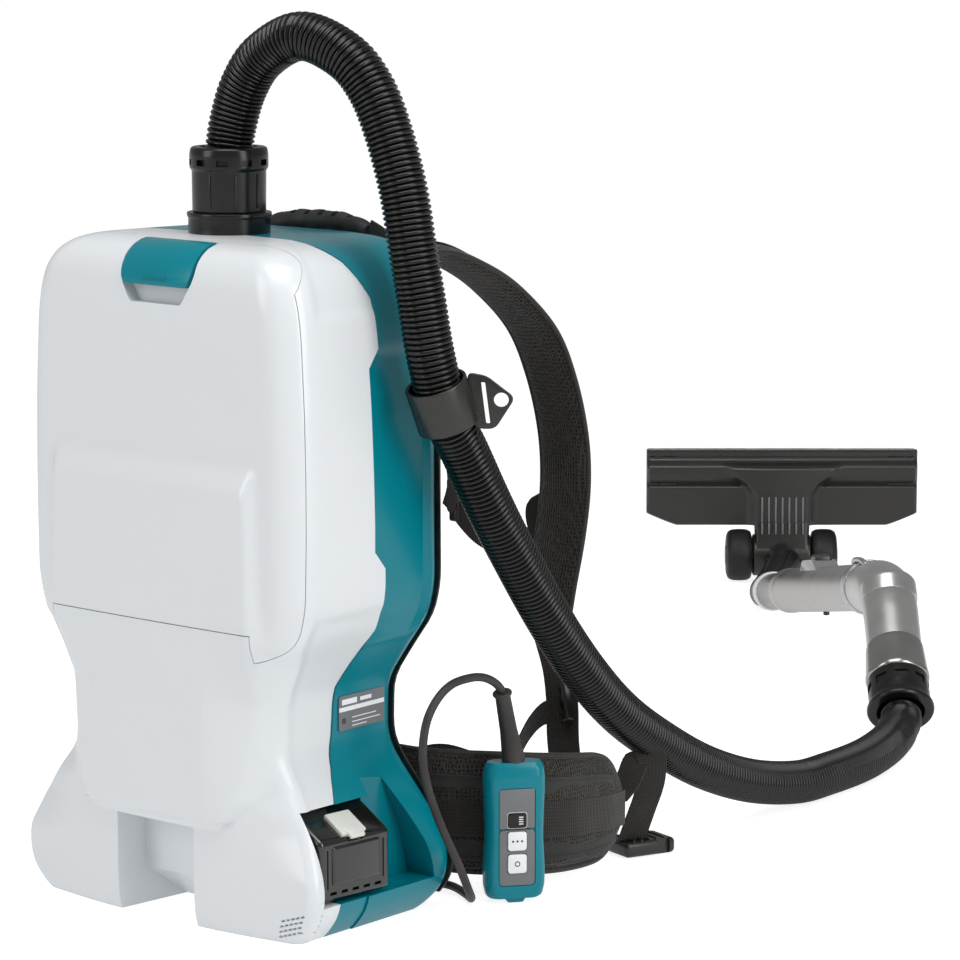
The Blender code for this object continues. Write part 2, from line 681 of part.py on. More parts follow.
def make_hose():
    route = smooth_route(HOSE_ROUTE, 0.0195)
    round_tube("hose", route, HOSE_RADIUS, HOSE_BLACK, 3)
    held = min(range(len(route)), key=lambda i: abs(route[i].z - 0.4045) + abs(route[i].y - 0.045))
    middle = route[held]
    along = (route[held + 1] - route[held - 1]).normalized()
    start = middle - along * 0.018
    clip = sleeve("hose_clip", start, start + along * 0.036, 0.0242, HOSE_RADIUS + 0.0025, BLACK)
    right = NOZZLE_SIDE
    toward = Vector((0.6756, -0.7373, 0.0))
    frame = axes_matrix(middle, right, toward)
    tab = prism("clip_tab", [(0.0230, 0.0170), (0.0270, 0.0210), (0.0420, 0.0160), (0.0500, 0.0010),
                             (0.0370, -0.0180), (0.0262, -0.0130)], -0.003, 0.003, frame)
    boolean(clip, tab, "UNION")
    hole = frame @ Vector((0.0400, 0.0030, 0.0))
    boolean(clip, cylinder("clip_hole", hole - toward * 0.02, hole + toward * 0.02, 0.0052))


def make_wand():
    rise = (WAND_KNEE - WAND_FOOT).normalized()
    reach = (WAND_TIP - WAND_KNEE).normalized()
    sleeve("hose_end_cuff", WAND_FOOT, WAND_FOOT + rise * 0.036, 0.0290, HOSE_RADIUS + 0.0035, BLACK)
    turned_ring("wand_socket", [
        (0.0268, 0.0400), (0.0295, 0.0060), (0.0295, 0.0), (0.0190, 0.0), (0.0190, 0.0400),
    ], BLACK, WAND_FOOT + rise * 0.0364, rise)
    start = WAND_FOOT + rise * 0.0768
    end = WAND_KNEE + reach * 0.0950
    bend = [start]
    before = WAND_KNEE - rise * 0.050
    after = WAND_KNEE + reach * 0.050
    for step in range(7):
        t = step / 6
        bend.append(before * (1 - t) ** 2 + WAND_KNEE * 2 * t * (1 - t) + after * t**2)
    bend.append(end)
    pipe = round_tube("bent_pipe", bend, PIPE_RADIUS, GREY_METAL, 4)
    lug = WAND_KNEE + reach * 0.074
    up = (Vector((0, 0, 1)) - reach * reach.z).normalized()
    eye = lug + up * 0.0275
    cross = reach.cross(up)
    ring = cylinder("lug_eye", eye - cross * 0.004, eye + cross * 0.004, 0.0085)
    boolean(pipe, ring, "UNION")
    hole = eye + up * 0.0020
    boolean(pipe, cylinder("lug_hole", hole - cross * 0.01, hole + cross * 0.01, 0.0042))
    tube_start = end + reach * 0.0004
    tube_end = WAND_KNEE + reach * 0.495
    bore = INNER_TUBE_RADIUS + 0.0004
    outer = sleeve("outer_tube", tube_start, tube_end, OUTER_TUBE_RADIUS, bore, ALUMINIUM, 32)
    inner_start = WAND_KNEE + reach * 0.200
    sleeve("inner_tube", inner_start, WAND_TIP, INNER_TUBE_RADIUS, INNER_TUBE_RADIUS - 0.0012, ALUMINIUM, 32)
    # The release slider's bracket sits on the outer tube, with its button on top.
    seat = WAND_KNEE + reach * 0.330
    frame = axes_matrix(seat, reach, up)
    bracket = box("slider_bracket", (-0.032, -0.0125, 0.0215), (0.032, 0.0125, 0.0295), frame=frame)
    boolean(outer, bracket, "UNION")
    boolean(outer, box("slider_slot", (-0.024, -0.0085, 0.0255), (0.024, 0.0085, 0.0400), frame=frame))
    box("tube_release", (-0.0205, -0.0080, 0.0258), (0.0065, 0.0080, 0.0345), BLACK, 0.001, frame)
    sleeve("tube_collar", WAND_TIP + reach * 0.0004, WAND_TIP + reach * 0.0150, 0.0210, 0.0160, OFF_WHITE)


def make_nozzle():
    reach = (WAND_TIP - WAND_KNEE).normalized()
    frame = axes_matrix(NOZZLE, NOZZLE_SIDE, (0, 0, 1))
    elbow_start = WAND_TIP + reach * 0.0163
    joint_face = NOZZLE - NOZZLE_AWAY * 0.0240
    bend = [elbow_start, elbow_start + reach * 0.030]
    turn = joint_face - NOZZLE_AWAY * 0.040
    for step in range(1, 6):
        t = step / 6
        bend.append(bend[1].lerp(turn, t))
    bend += [turn, joint_face - NOZZLE_AWAY * 0.0004]
    round_tube("nozzle_elbow", smooth_route(bend, 0.018), 0.0178, BLACK, 4)
    neck_ends = (frame @ Vector((-0.0325, 0, 0)), frame @ Vector((0.0325, 0, 0)))
    neck = cylinder("nozzle_neck", *neck_ends, 0.0235, BLACK)
    throat = box("neck_throat", (-0.0300, -0.0180, 0.0), (0.0300, 0.0095, 0.0395), frame=frame)
    add_bevel(throat, 0.006, 2)
    boolean(neck, throat, "UNION")
    for i in range(7):
        x = -0.024 + 0.008 * i
        rib = box(f"neck_rib_{i}", (x - 0.0018, -0.0205, 0.0245), (x + 0.0018, -0.0170, 0.0385), frame=frame)
        boolean(neck, rib, "UNION")
    for side, sign in (("left", -1), ("right", 1)):
        near = frame @ Vector((sign * 0.0330, 0, 0))
        far = frame @ Vector((sign * 0.0620, 0, 0))
        wheel = cylinder(f"wheel_{side}", near, far, WHEEL_RADIUS, RUBBER)
        add_bevel(wheel, 0.004, 2)
    # The head stands upright: its front view is a wide plate with clipped lower corners.
    lower, upper, half = 0.0335, 0.1190, 0.1515
    clip_x, clip_z = 0.034, 0.012
    outline = [
        (-half, upper), (-half, lower + clip_z), (-half + clip_x, lower), (-0.0450, lower),
        (-0.0380, lower + 0.0100), (0.0380, lower + 0.0100), (0.0450, lower), (half - clip_x, lower),
        (half, lower + clip_z), (half, upper),
    ]
    front_frame = axes_matrix(NOZZLE, NOZZLE_SIDE, -NOZZLE_AWAY)
    shell = prism("nozzle_shell", outline, -0.0120, 0.0060, front_frame, BLACK)
    throat_top = box("shell_tunnel", (-0.0360, 0.0402, -0.0120), (0.0360, 0.0900, 0.0150), frame=front_frame)
    boolean(shell, throat_top, "UNION")
    prism("nozzle_sole", outline, -0.0165, -0.0123, front_frame, ALUMINIUM)
    box("brush_strip", (-0.1400, 0.0900, -0.0290), (0.1400, 0.0990, -0.0168), BRISTLE, frame=front_frame)


# --- Remote control ---------------------------------------------------------------------------------


def make_remote():
    frame = axes_matrix(REMOTE, REMOTE_OUT, (0, 0, 1))
    depth, width, height = REMOTE_SIZE
    case = box("remote_case", (-depth / 2, -width / 2, -height / 2), (depth / 2, width / 2, height / 2), TEAL,
               frame=frame)
    add_bevel(case, 0.006, 2)
    face = depth / 2
    boolean(case, box("panel_recess", (face - 0.0015, -0.0145, -0.0430), (0.03, 0.0145, 0.0340), frame=frame))
    boolean(case, box("button_well", (face - 0.0045, -0.0105, -0.0360), (0.03, 0.0105, 0.0180), frame=frame))
    low, high = (face - 0.0012, -0.0142, -0.0427), (face - 0.0002, 0.0142, 0.0337)
    panel = box("remote_panel", low, high, GREY, frame=frame)
    for name, low, high, finish in (
        ("light_button", 0.0030, 0.0150, BLACK),
        ("power_button", -0.0150, 0.0000, OFF_WHITE),
        ("stop_button", -0.0330, -0.0180, OFF_WHITE),
    ):
        window = box(name + "_window", (face - 0.002, -0.0079, low - 0.0004), (0.03, 0.0079, high + 0.0004),
                     frame=frame)
        boolean(panel, window)
        box(name, (face - 0.0030, -0.0075, low), (face + 0.0012, 0.0075, high), finish, 0.0006, frame)
    top = REMOTE + Vector((0, 0, height / 2 + 0.0026))
    cable_start = Vector(CABLE_ROUTE[0])
    tip = cable_start + (top - cable_start).normalized() * 0.0016
    cylinder("remote_strain_relief", top, tip, 0.0065, RUBBER, 0.0042, 20)
    low, high = (-depth / 2 - 0.0040, -0.0110, -0.010), (-depth / 2 - 0.0004, 0.0110, 0.046)
    box("remote_clip", low, high, BLACK, 0.001, frame)
    round_tube("remote_cable", smooth_route(CABLE_ROUTE, 0.0085), CABLE_RADIUS, RUBBER, 2)
    cylinder("cable_gland", (0.0786, 0.1014, 0.0114), (0.0760, 0.0902, 0.0170), 0.0042, RUBBER, 0.0065, 20)


# --- Harness ----------------------------------------------------------------------------------------


def webbing_halves(path, half):
    """Half-width vectors of a strap whose flat side faces the wearer's back."""
    halves = []
    for i in range(len(path)):
        ahead = path[min(i + 1, len(path) - 1)] - path[max(i - 1, 0)]
        halves.append(ahead.cross(Vector((0, 1, 0))).normalized() * half)
    return halves


def make_carry_grip():
    route = [
        (-0.060, 0.0975, 0.5190), (-0.035, 0.0985, 0.5245), (-0.008, 0.0990, 0.5260),
        (0.020, 0.0988, 0.5250), (0.046, 0.0978, 0.5190),
    ]
    round_tube("carry_grip", smooth_route(route, 0.010), 0.0085, RUBBER, 3)
    for side, points in (
        ("left", [(-0.0622, 0.0972, 0.5178), (-0.0720, 0.0965, 0.5120), (-0.0790, 0.0950, 0.5010),
                  (-0.0810, 0.0943, 0.4900)]),
        ("right", [(0.0482, 0.0975, 0.5176), (0.0600, 0.0965, 0.5130), (0.0790, 0.0950, 0.5010),
                   (0.0860, 0.0943, 0.4900)]),
    ):
        path = smooth_route(points, 0.008)
        ribbon(f"grip_webbing_{side}", path, webbing_halves(path, 0.012), 0.0018, WEBBING)


def make_shoulder_strap(side, sign):
    route = [point if sign > 0 else mirrored(point) for point in STRAP_ROUTE]
    path = smooth_route(route, 0.022)
    across = [(STRAP_WIDTH / 2, 0, 0)] * len(path)
    ribbon(f"shoulder_strap_{side}", path, across, STRAP_THICKNESS, MESH_FABRIC)
    route = [point if sign > 0 else mirrored(point) for point in WEBBING_ROUTE]
    path = smooth_route(route, 0.015)
    ribbon(f"strap_webbing_{side}", path, [(0.0135, 0.005 * sign, 0)] * len(path), 0.002, WEBBING)


def make_belt_wing(side, sign):
    lower = smooth_route([(sign * x, y, low) for x, y, low, high in BELT_ROUTE], 0.016)
    upper = smooth_route([(sign * x, y, high) for x, y, low, high in BELT_ROUTE], 0.016)
    count = min(len(lower), len(upper))
    path = [(lower[i] + upper[i]) / 2 for i in range(count)]
    across = [(upper[i] - lower[i]) / 2 for i in range(count)]
    ribbon(f"belt_wing_{side}", path, across, BELT_THICKNESS, MESH_FABRIC)
    middle = Vector((sign * 0.1330, 0.326, 0.0070))
    frame = axes_matrix(middle, (sign * 0.30, 1.0, 0.0), (0, 0, 1))
    box(f"belt_buckle_{side}", (-0.0240, -0.0170, -0.0065), (0.0240, 0.0170, 0.0065), BLACK, 0.002, frame)


def make_chest_strap():
    route = [
        (-0.0560, 0.2975, 0.2810), (-0.0400, 0.2985, 0.2655), (-0.0220, 0.2995, 0.2540),
        (0.0083, 0.3005, 0.2460), (0.0320, 0.3000, 0.2500), (0.0560, 0.2965, 0.2620),
    ]
    path = smooth_route(route, 0.015)
    ribbon("chest_strap", path, [(0, 0, 0.0125)] * len(path), 0.002, WEBBING)


def make_harness():
    make_carry_grip()
    for side, sign in (("right", 1), ("left", -1)):
        make_shoulder_strap(side, sign)
        make_belt_wing(side, sign)
    make_chest_strap()


make_housings()
make_cover()
make_back_plate()
make_inlet()
make_dust_chamber()
make_filter()
make_blower()
make_battery("right", 1)
make_battery("left", -1)
make_label()
make_hose()
make_wand()
make_nozzle()
make_remote()
make_harness()
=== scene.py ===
"""Looks of the backpack vacuum cleaner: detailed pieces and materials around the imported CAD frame.

Metres in the frame of the record: the origin is the middle of the machine's base, -Y its cover side,
+Y the wearer's side, +Z up.
"""
from math import atan, atan2, copysign, cos, exp, pi, radians, sin, sqrt, tau

import bmesh
import bpy
import numpy as np
from mathutils import Matrix, Vector


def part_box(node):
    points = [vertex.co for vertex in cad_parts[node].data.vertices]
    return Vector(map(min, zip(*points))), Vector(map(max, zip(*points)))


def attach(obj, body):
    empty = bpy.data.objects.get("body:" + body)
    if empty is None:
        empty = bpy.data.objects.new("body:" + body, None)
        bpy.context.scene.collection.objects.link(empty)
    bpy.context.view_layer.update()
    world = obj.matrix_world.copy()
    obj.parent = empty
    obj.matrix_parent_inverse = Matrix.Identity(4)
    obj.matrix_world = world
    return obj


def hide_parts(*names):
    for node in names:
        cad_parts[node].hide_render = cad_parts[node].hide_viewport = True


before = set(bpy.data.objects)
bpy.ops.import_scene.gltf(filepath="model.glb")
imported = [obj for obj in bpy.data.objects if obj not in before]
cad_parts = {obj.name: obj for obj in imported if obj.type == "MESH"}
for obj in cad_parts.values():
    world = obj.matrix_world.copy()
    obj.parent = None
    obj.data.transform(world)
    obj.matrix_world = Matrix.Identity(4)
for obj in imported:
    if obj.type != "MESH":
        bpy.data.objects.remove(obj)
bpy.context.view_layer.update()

# --- Dimensions shared with the CAD ---
WALL = 0.0028
SEAM = 0.0005
CROWN = 0.003
RIDGE = 0.007
TAPER = 0.016
HINGE = Vector((0.0, -0.1, 0.238))
DOOR_CORNER = 0.026
DOOR_HALF = 0.109
DOOR_REAR = -0.074
BAY = ((0.0455, -0.0685, 0.0285), (0.2, 0.012, 0.0985))
BAY_HOLLOW = [(0.011, 0.0285), (0.064, 0.0285), (0.056, 0.06), (0.028, 0.122), (0.011, 0.122)]
BAY_HOLLOW_DEPTH = 0.118
BACK_PLATE = 0.0033
INLET = Vector((0.0, -0.008, 0.0))
# height, half width, front, rear, front corner radius, rear corner radius
BODY_SECTIONS = [
    (0.0, 0.142, -0.086, 0.072, 0.01, 0.012),
    (0.008, 0.151, -0.089, 0.08, 0.01, 0.012),
    (0.024, 0.161, -0.09, 0.086, 0.009, 0.012),
    (0.048, 0.162, -0.09, 0.087, 0.009, 0.012),
    (0.08, 0.148, -0.09, 0.081, 0.009, 0.012),
    (0.1, 0.136, -0.09, 0.075, 0.01, 0.012),
    (0.122, 0.12, -0.09, 0.071, 0.011, 0.012),
    (0.136, 0.114, -0.09, 0.07, 0.012, 0.012),
    (0.178, 0.114, -0.09, 0.071, 0.014, 0.012),
    (0.202, 0.124, -0.09, 0.081, 0.022, 0.012),
    (0.23, 0.141, -0.09, 0.088, 0.026, 0.012),
    (0.255, 0.149, -0.09, 0.0865, 0.028, 0.012),
    (0.31, 0.151, -0.09, 0.084, 0.03, 0.012),
    (0.35, 0.151, -0.09, 0.084, 0.03, 0.012),
    (0.4, 0.15, -0.09, 0.084, 0.03, 0.012),
    (0.46, 0.147, -0.0895, 0.0838, 0.03, 0.012),
    (0.486, 0.143, -0.089, 0.083, 0.03, 0.012),
    (0.503, 0.136, -0.086, 0.081, 0.029, 0.012),
    (0.515, 0.124, -0.078, 0.077, 0.026, 0.011),
    (0.521, 0.108, -0.066, 0.071, 0.022, 0.01),
    (0.5235, 0.085, -0.05, 0.062, 0.018, 0.009),
]
SPLIT = [
    (-0.016, -0.05), (-0.016, 0.06), (-0.03, 0.096), (-0.014, 0.122), (-0.006, 0.145), (-0.003, 0.182),
    (0.02, 0.226), (0.018, 0.275), (0.005, 0.289), (0.0006, 0.429), (0.0126, 0.443), (0.01, 0.481),
    (-0.009, 0.509), (-0.0195, 0.519), (-0.0195, 0.6),
]
BATTERY = ((0.046, -0.066, 0.031), (0.152, 0.009, 0.095))
LATCH_POCKET = [
    (-0.13, 0.476), (-0.0815, 0.476), (-0.0805, 0.499), (-0.076, 0.506), (-0.069, 0.5095),
    (-0.061, 0.5105), (-0.061, 0.56), (-0.13, 0.56),
]
LATCH_POCKET_WALL = [
    (-0.13, 0.471), (-0.0775, 0.471), (-0.077, 0.4975), (-0.0735, 0.503), (-0.068, 0.506),
    (-0.0575, 0.5075), (-0.0575, 0.56), (-0.13, 0.56),
]
LATCH_CENTRE = 0.005
HOSE_RADIUS = 0.01875
HOSE_ROUTE = [
    (0.0, -0.008, 0.5855), (0.003, -0.006, 0.608), (0.013, -0.004, 0.636), (0.033, -0.002, 0.66),
    (0.0705, 0.001, 0.6755), (0.1095, 0.007, 0.662), (0.1315, 0.0125, 0.638), (0.1465, 0.016, 0.6045),
    (0.1585, 0.019, 0.5625), (0.165, 0.022, 0.519), (0.169, 0.027, 0.481), (0.172, 0.034, 0.438),
    (0.1735, 0.048, 0.395), (0.174, 0.069, 0.363), (0.173, 0.096, 0.321), (0.1705, 0.124, 0.283),
    (0.1655, 0.1745, 0.2205), (0.1585, 0.2255, 0.169), (0.1505, 0.279, 0.1265), (0.1415, 0.342, 0.09),
    (0.133, 0.409, 0.058), (0.1255, 0.48, 0.034), (0.1195, 0.549, 0.021), (0.1145, 0.6, 0.0197),
    (0.104, 0.66, 0.0197), (0.086, 0.715, 0.0205), (0.062, 0.764, 0.0203), (0.043, 0.795, 0.0203),
    (0.0335, 0.812, 0.0225), (0.0271, 0.8203, 0.0277),
]
WAND_FOOT = Vector((0.0265, 0.821, 0.0285))
WAND_KNEE = Vector((-0.0542, 0.906, 0.126))
WAND_TIP = Vector((-0.4915, 1.2825, 0.0225))
PIPE_RADIUS = 0.0255
NOZZLE = Vector((-0.6121, 1.446, 0.0293))
NOZZLE_SIDE = Vector((0.7373, 0.6756, 0.0)).normalized()
NOZZLE_AWAY = Vector((-0.6756, 0.7373, 0.0)).normalized()
REMOTE = Vector((0.1665, 0.1335, 0.058))
REMOTE_OUT = Vector((0.83, -0.558, 0.0)).normalized()
REMOTE_SIZE = (0.024, 0.045, 0.108)
CABLE_RADIUS = 0.0033
CABLE_ROUTE = [
    (0.1705, 0.1155, 0.1702), (0.1705, 0.1075, 0.178), (0.17, 0.0949, 0.1838), (0.169, 0.0801, 0.1854),
    (0.1685, 0.0597, 0.1828), (0.1685, 0.0429, 0.1725), (0.1685, 0.0317, 0.1558), (0.169, 0.0276, 0.1317),
    (0.1695, 0.0325, 0.1077), (0.17, 0.0423, 0.0842), (0.17, 0.054, 0.0627), (0.168, 0.069, 0.0402),
    (0.163, 0.085, 0.0175), (0.1525, 0.1, 0.0058), (0.1345, 0.113, 0.004), (0.1125, 0.122, 0.0048),
    (0.0945, 0.119, 0.006), (0.085, 0.112, 0.007), (0.079, 0.1025, 0.011),
]
STRAP_ROUTE = [
    (0.0485, 0.0965, 0.462), (0.0495, 0.1, 0.484), (0.0555, 0.115, 0.5), (0.0675, 0.14, 0.5035),
    (0.0765, 0.175, 0.49), (0.0805, 0.21, 0.469), (0.0835, 0.247, 0.435), (0.0835, 0.27, 0.395),
    (0.0835, 0.2845, 0.349), (0.0835, 0.288, 0.308), (0.0835, 0.2825, 0.267), (0.0835, 0.2715, 0.223),
    (0.084, 0.265, 0.196),
]
STRAP_WIDTH = 0.048
STRAP_THICKNESS = 0.011
WEBBING_ROUTE = [
    (0.0842, 0.2637, 0.19), (0.093, 0.2625, 0.173), (0.102, 0.26, 0.154), (0.109, 0.256, 0.13),
    (0.115, 0.25, 0.106), (0.123, 0.244, 0.086),
]
BELT_ROUTE = [
    (0.057, 0.1045, 0.021, 0.114), (0.0935, 0.1075, 0.021, 0.114), (0.1215, 0.12, 0.0195, 0.114),
    (0.1405, 0.143, 0.017, 0.112), (0.1525, 0.173, 0.014, 0.108), (0.1585, 0.208, 0.012, 0.103),
    (0.1555, 0.245, 0.012, 0.097), (0.1505, 0.267, 0.02, 0.086), (0.1455, 0.283, 0.034, 0.066),
]
BELT_THICKNESS = 0.012

RISE = (WAND_KNEE - WAND_FOOT).normalized()
REACH = (WAND_TIP - WAND_KNEE).normalized()
TUBE_UP = (Vector((0, 0, 1)) - REACH * REACH.z).normalized()
SIDES = (("right", 1), ("left", -1))
ROUTE_STEP = 0.004


# --- Camera ---
CAMERA_PLACE = (2.3656, -2.3051, 0.8141)
CAMERA_AZIMUTH = radians(42.5)
CAMERA_PITCH = atan(630 / 4300)
FOCAL_LENGTH_MM = 161.25


def make_camera():
    data = bpy.data.cameras.new("camera")
    data.lens = FOCAL_LENGTH_MM
    data.sensor_width = 36.0
    data.clip_end = 60.0
    camera = bpy.data.objects.new("camera", data)
    camera.location = CAMERA_PLACE
    camera.rotation_euler = (pi / 2 - CAMERA_PITCH, 0.0, CAMERA_AZIMUTH)
    bpy.context.scene.collection.objects.link(camera)
    bpy.context.scene.camera = camera


# --- Mesh helpers ---
def ease(value):
    value = min(max(value, 0.0), 1.0)
    return value * value * (3 - 2 * value)


def smooth_route(points, spacing):
    """Points at an even spacing on the smooth curve through a route's own points."""
    points = [Vector(point) for point in points]
    dense = []
    for i in range(len(points) - 1):
        before = points[max(i - 1, 0)]
        start = points[i]
        end = points[i + 1]
        after = points[min(i + 2, len(points) - 1)]
        for step in range(12):
            t = step / 12
            pull = 2 * start + (end - before) * t + (2 * before - 5 * start + 4 * end - after) * t**2
            dense.append((pull + (3 * start - before - 3 * end + after) * t**3) / 2)
    dense.append(points[-1])
    length = sum((b - a).length for a, b in zip(dense, dense[1:]))
    count = max(2, round(length / spacing))
    picked = [dense[0]]
    run = 0.0
    for a, b in zip(dense, dense[1:]):
        step = (b - a).length
        while len(picked) < count and run + step >= length * len(picked) / count:
            picked.append(a.lerp(b, (length * len(picked) / count - run) / step))
        run += step
    picked.append(dense[-1])
    return picked


def axes_matrix(origin, first, third):
    """A frame at origin with X along first and Z along third."""
    z = Vector(third).normalized()
    x = (Vector(first) - z * z.dot(Vector(first))).normalized()
    y = z.cross(x)
    turn = Matrix((x, y, z)).transposed().to_4x4()
    return Matrix.Translation(origin) @ turn


def turned_to(origin, direction):
    """A frame at origin with Z along direction."""
    direction = Vector(direction).normalized()
    side = Vector((0, 0, 1)) if abs(direction.z) < 0.9 else Vector((1, 0, 0))
    return axes_matrix(origin, side, direction)


def object_of(name, verts, faces, uvs=None):
    mesh = bpy.data.meshes.new(name)
    mesh.from_pydata([tuple(v) for v in verts], [], faces)
    if uvs is not None:
        layer = mesh.uv_layers.new(name="UVMap")
        for loop in mesh.loops:
            layer.data[loop.index].uv = uvs[loop.vertex_index]
    obj = bpy.data.objects.new(name, mesh)
    bpy.context.scene.collection.objects.link(obj)
    face_out(obj)
    return obj


def face_out(obj):
    bm = bmesh.new()
    bm.from_mesh(obj.data)
    bmesh.ops.recalc_face_normals(bm, faces=bm.faces)
    bm.to_mesh(obj.data)
    bm.free()


def grid_solid(name, rows, caps=True, uvs=None):
    """A skin over closed rings of equal length, with its ends capped."""
    count = len(rows[0])
    verts = [point for row in rows for point in row]
    faces = []
    for r in range(len(rows) - 1):
        for i in range(count):
            j = (i + 1) % count
            faces.append((r * count + i, r * count + j, (r + 1) * count + j, (r + 1) * count + i))
    if caps:
        faces.append(tuple(reversed(range(count))))
        faces.append(tuple((len(rows) - 1) * count + i for i in range(count)))
    return object_of(name, verts, faces, uvs)


def squared(angle, wide, deep):
    """Cosine and sine of an angle, drawn out towards the corners of a square."""
    c, s = cos(angle), sin(angle)
    return copysign(abs(c) ** wide, c), copysign(abs(s) ** deep, s)


def apply_modifiers(obj):
    graph = bpy.context.evaluated_depsgraph_get()
    mesh = bpy.data.meshes.new_from_object(obj.evaluated_get(graph))
    mesh.transform(obj.matrix_world)
    old = obj.data
    obj.modifiers.clear()
    obj.data = mesh
    obj.matrix_world = Matrix.Identity(4)
    bpy.data.meshes.remove(old)
    return obj


def combine(obj, cutters, operation="DIFFERENCE"):
    """Cuts, joins or intersects obj with the other solids, and removes them."""
    for i, cutter in enumerate(cutters):
        step = obj.modifiers.new(f"step_{i}", "BOOLEAN")
        step.operation = operation
        step.solver = "MANIFOLD"
        step.object = cutter
    apply_modifiers(obj)
    for cutter in cutters:
        bpy.data.objects.remove(cutter)
    return obj


def bevel(obj, width, segments=3, angle=30):
    rounding = obj.modifiers.new("rounded_edges", "BEVEL")
    rounding.width = width
    rounding.segments = segments
    rounding.limit_method = "ANGLE"
    rounding.angle_limit = radians(angle)
    return apply_modifiers(obj)


def subdivide(obj):
    smooth = obj.modifiers.new("smooth_form", "SUBSURF")
    smooth.levels = 1
    smooth.render_levels = 1
    return apply_modifiers(obj)


def shade(obj, angle=35):
    mesh = obj.data
    for polygon in mesh.polygons:
        polygon.use_smooth = True
    mesh.set_sharp_from_angle(angle=radians(angle))
    return obj


def box(name, low, high, matrix=None, width=0.0, segments=3):
    low = Vector(low)
    high = Vector(high)
    corners = [Vector((x, y, z)) for x in (low.x, high.x) for y in (low.y, high.y) for z in (low.z, high.z)]
    faces = [(0, 1, 3, 2), (4, 6, 7, 5), (0, 4, 5, 1), (2, 3, 7, 6), (0, 2, 6, 4), (1, 5, 7, 3)]
    obj = object_of(name, corners, faces)
    if matrix is not None:
        obj.data.transform(matrix)
        face_out(obj)
    if width:
        bevel(obj, width, segments)
    return obj


def prism(name, outline, low, high, matrix=None, width=0.0, segments=3):
    """An outline in the matrix's XY plane, extruded along its Z from low to high."""
    count = len(outline)
    verts = [Vector((x, y, low)) for x, y in outline] + [Vector((x, y, high)) for x, y in outline]
    faces = [tuple(reversed(range(count))), tuple(range(count, 2 * count))]
    faces += [(i, (i + 1) % count, (i + 1) % count + count, i + count) for i in range(count)]
    obj = object_of(name, verts, faces)
    if matrix is not None:
        obj.data.transform(matrix)
        face_out(obj)
    if width:
        bevel(obj, width, segments)
    return obj


SIDE_VIEW = Matrix(((0, 0, 1, 0), (1, 0, 0, 0), (0, 1, 0, 0), (0, 0, 0, 1)))
FRONT_VIEW = Matrix(((1, 0, 0, 0), (0, 0, 1, 0), (0, 1, 0, 0), (0, 0, 0, 1)))


def side_prism(name, outline, low, high):
    return prism(name, outline, low, high, SIDE_VIEW)


def turned(name, profile, origin=(0, 0, 0), direction=(0, 0, 1), steps=64, closed=True):
    """A profile of (radius, height) points, turned round the axis."""
    matrix = turned_to(origin, direction)
    rows = []
    for radius, height in profile:
        ring = []
        for i in range(steps):
            angle = tau * i / steps
            ring.append(matrix @ Vector((radius * cos(angle), radius * sin(angle), height)))
        rows.append(ring)
    if closed:
        rows.append(rows[0])
    obj = grid_solid(name, rows, caps=not closed)
    if closed:
        weld(obj)
    return obj


def weld(obj):
    bm = bmesh.new()
    bm.from_mesh(obj.data)
    bmesh.ops.remove_doubles(bm, verts=bm.verts, dist=1e-6)
    bmesh.ops.recalc_face_normals(bm, faces=bm.faces)
    bm.to_mesh(obj.data)
    bm.free()
    return obj


def rounded(profile, radius, steps=3):
    """A closed profile with each corner rounded to at most that radius."""
    out = []
    count = len(profile)
    for i in range(count):
        before = Vector(profile[i - 1])
        here = Vector(profile[i])
        after = Vector(profile[(i + 1) % count])
        a = before - here
        b = after - here
        reach = min(radius, a.length * 0.45, b.length * 0.45)
        start = here + a.normalized() * reach
        end = here + b.normalized() * reach
        for step in range(steps + 1):
            t = step / steps
            out.append(tuple(start * (1 - t) ** 2 + here * 2 * t * (1 - t) + end * t**2))
    return out


def frames_along(points):
    """A tangent and two square directions at each point, carried along without twist."""
    points = [Vector(p) for p in points]
    tangents = [heading(points, i).normalized() for i in range(len(points))]
    side = tangents[0].orthogonal().normalized()
    found = []
    for tangent in tangents:
        side = (side - tangent * side.dot(tangent)).normalized()
        found.append((tangent, side, tangent.cross(side)))
    return found


def tube(name, points, radii, sides):
    frames = frames_along(points)
    if not isinstance(radii, (list, tuple)):
        radii = [radii] * len(points)
    rows = []
    uvs = []
    run = 0.0
    for k, (point, (_, a, b), radius) in enumerate(zip(points, frames, radii)):
        if k:
            run += (Vector(point) - Vector(points[k - 1])).length
        ring = []
        for i in range(sides):
            angle = tau * i / sides
            ring.append(Vector(point) + (a * cos(angle) + b * sin(angle)) * radius)
            uvs.append((run, i / sides * tau * radius))
        rows.append(ring)
    return grid_solid(name, rows, uvs=uvs)


def heading(points, i):
    """The direction of a route at its point i, not of unit length."""
    return points[min(i + 1, len(points) - 1)] - points[max(i - 1, 0)]


def band(name, points, across, section):
    """A strap: at each point, section's (across, out) offsets in metres. across holds unit vectors."""
    rows = []
    uvs = []
    run = 0.0
    for i, point in enumerate(points):
        if i:
            run += (point - points[i - 1]).length
        side = Vector(across[i]).normalized()
        out = heading(points, i).cross(side).normalized()
        offsets = section(i / (len(points) - 1)) if callable(section) else section
        rows.append([point + side * a + out * b for a, b in offsets])
        uvs += [(run, a) for a, b in offsets]
    return grid_solid(name, rows, uvs=uvs)


def webbing_section(half, thickness):
    t = thickness / 2
    across = (0.97, 0.5, 0, -0.5, -0.97)
    return [(-half, 0)] + [(-half * a, -t) for a in across] + [(half, 0)] + [(half * a, t) for a in across]


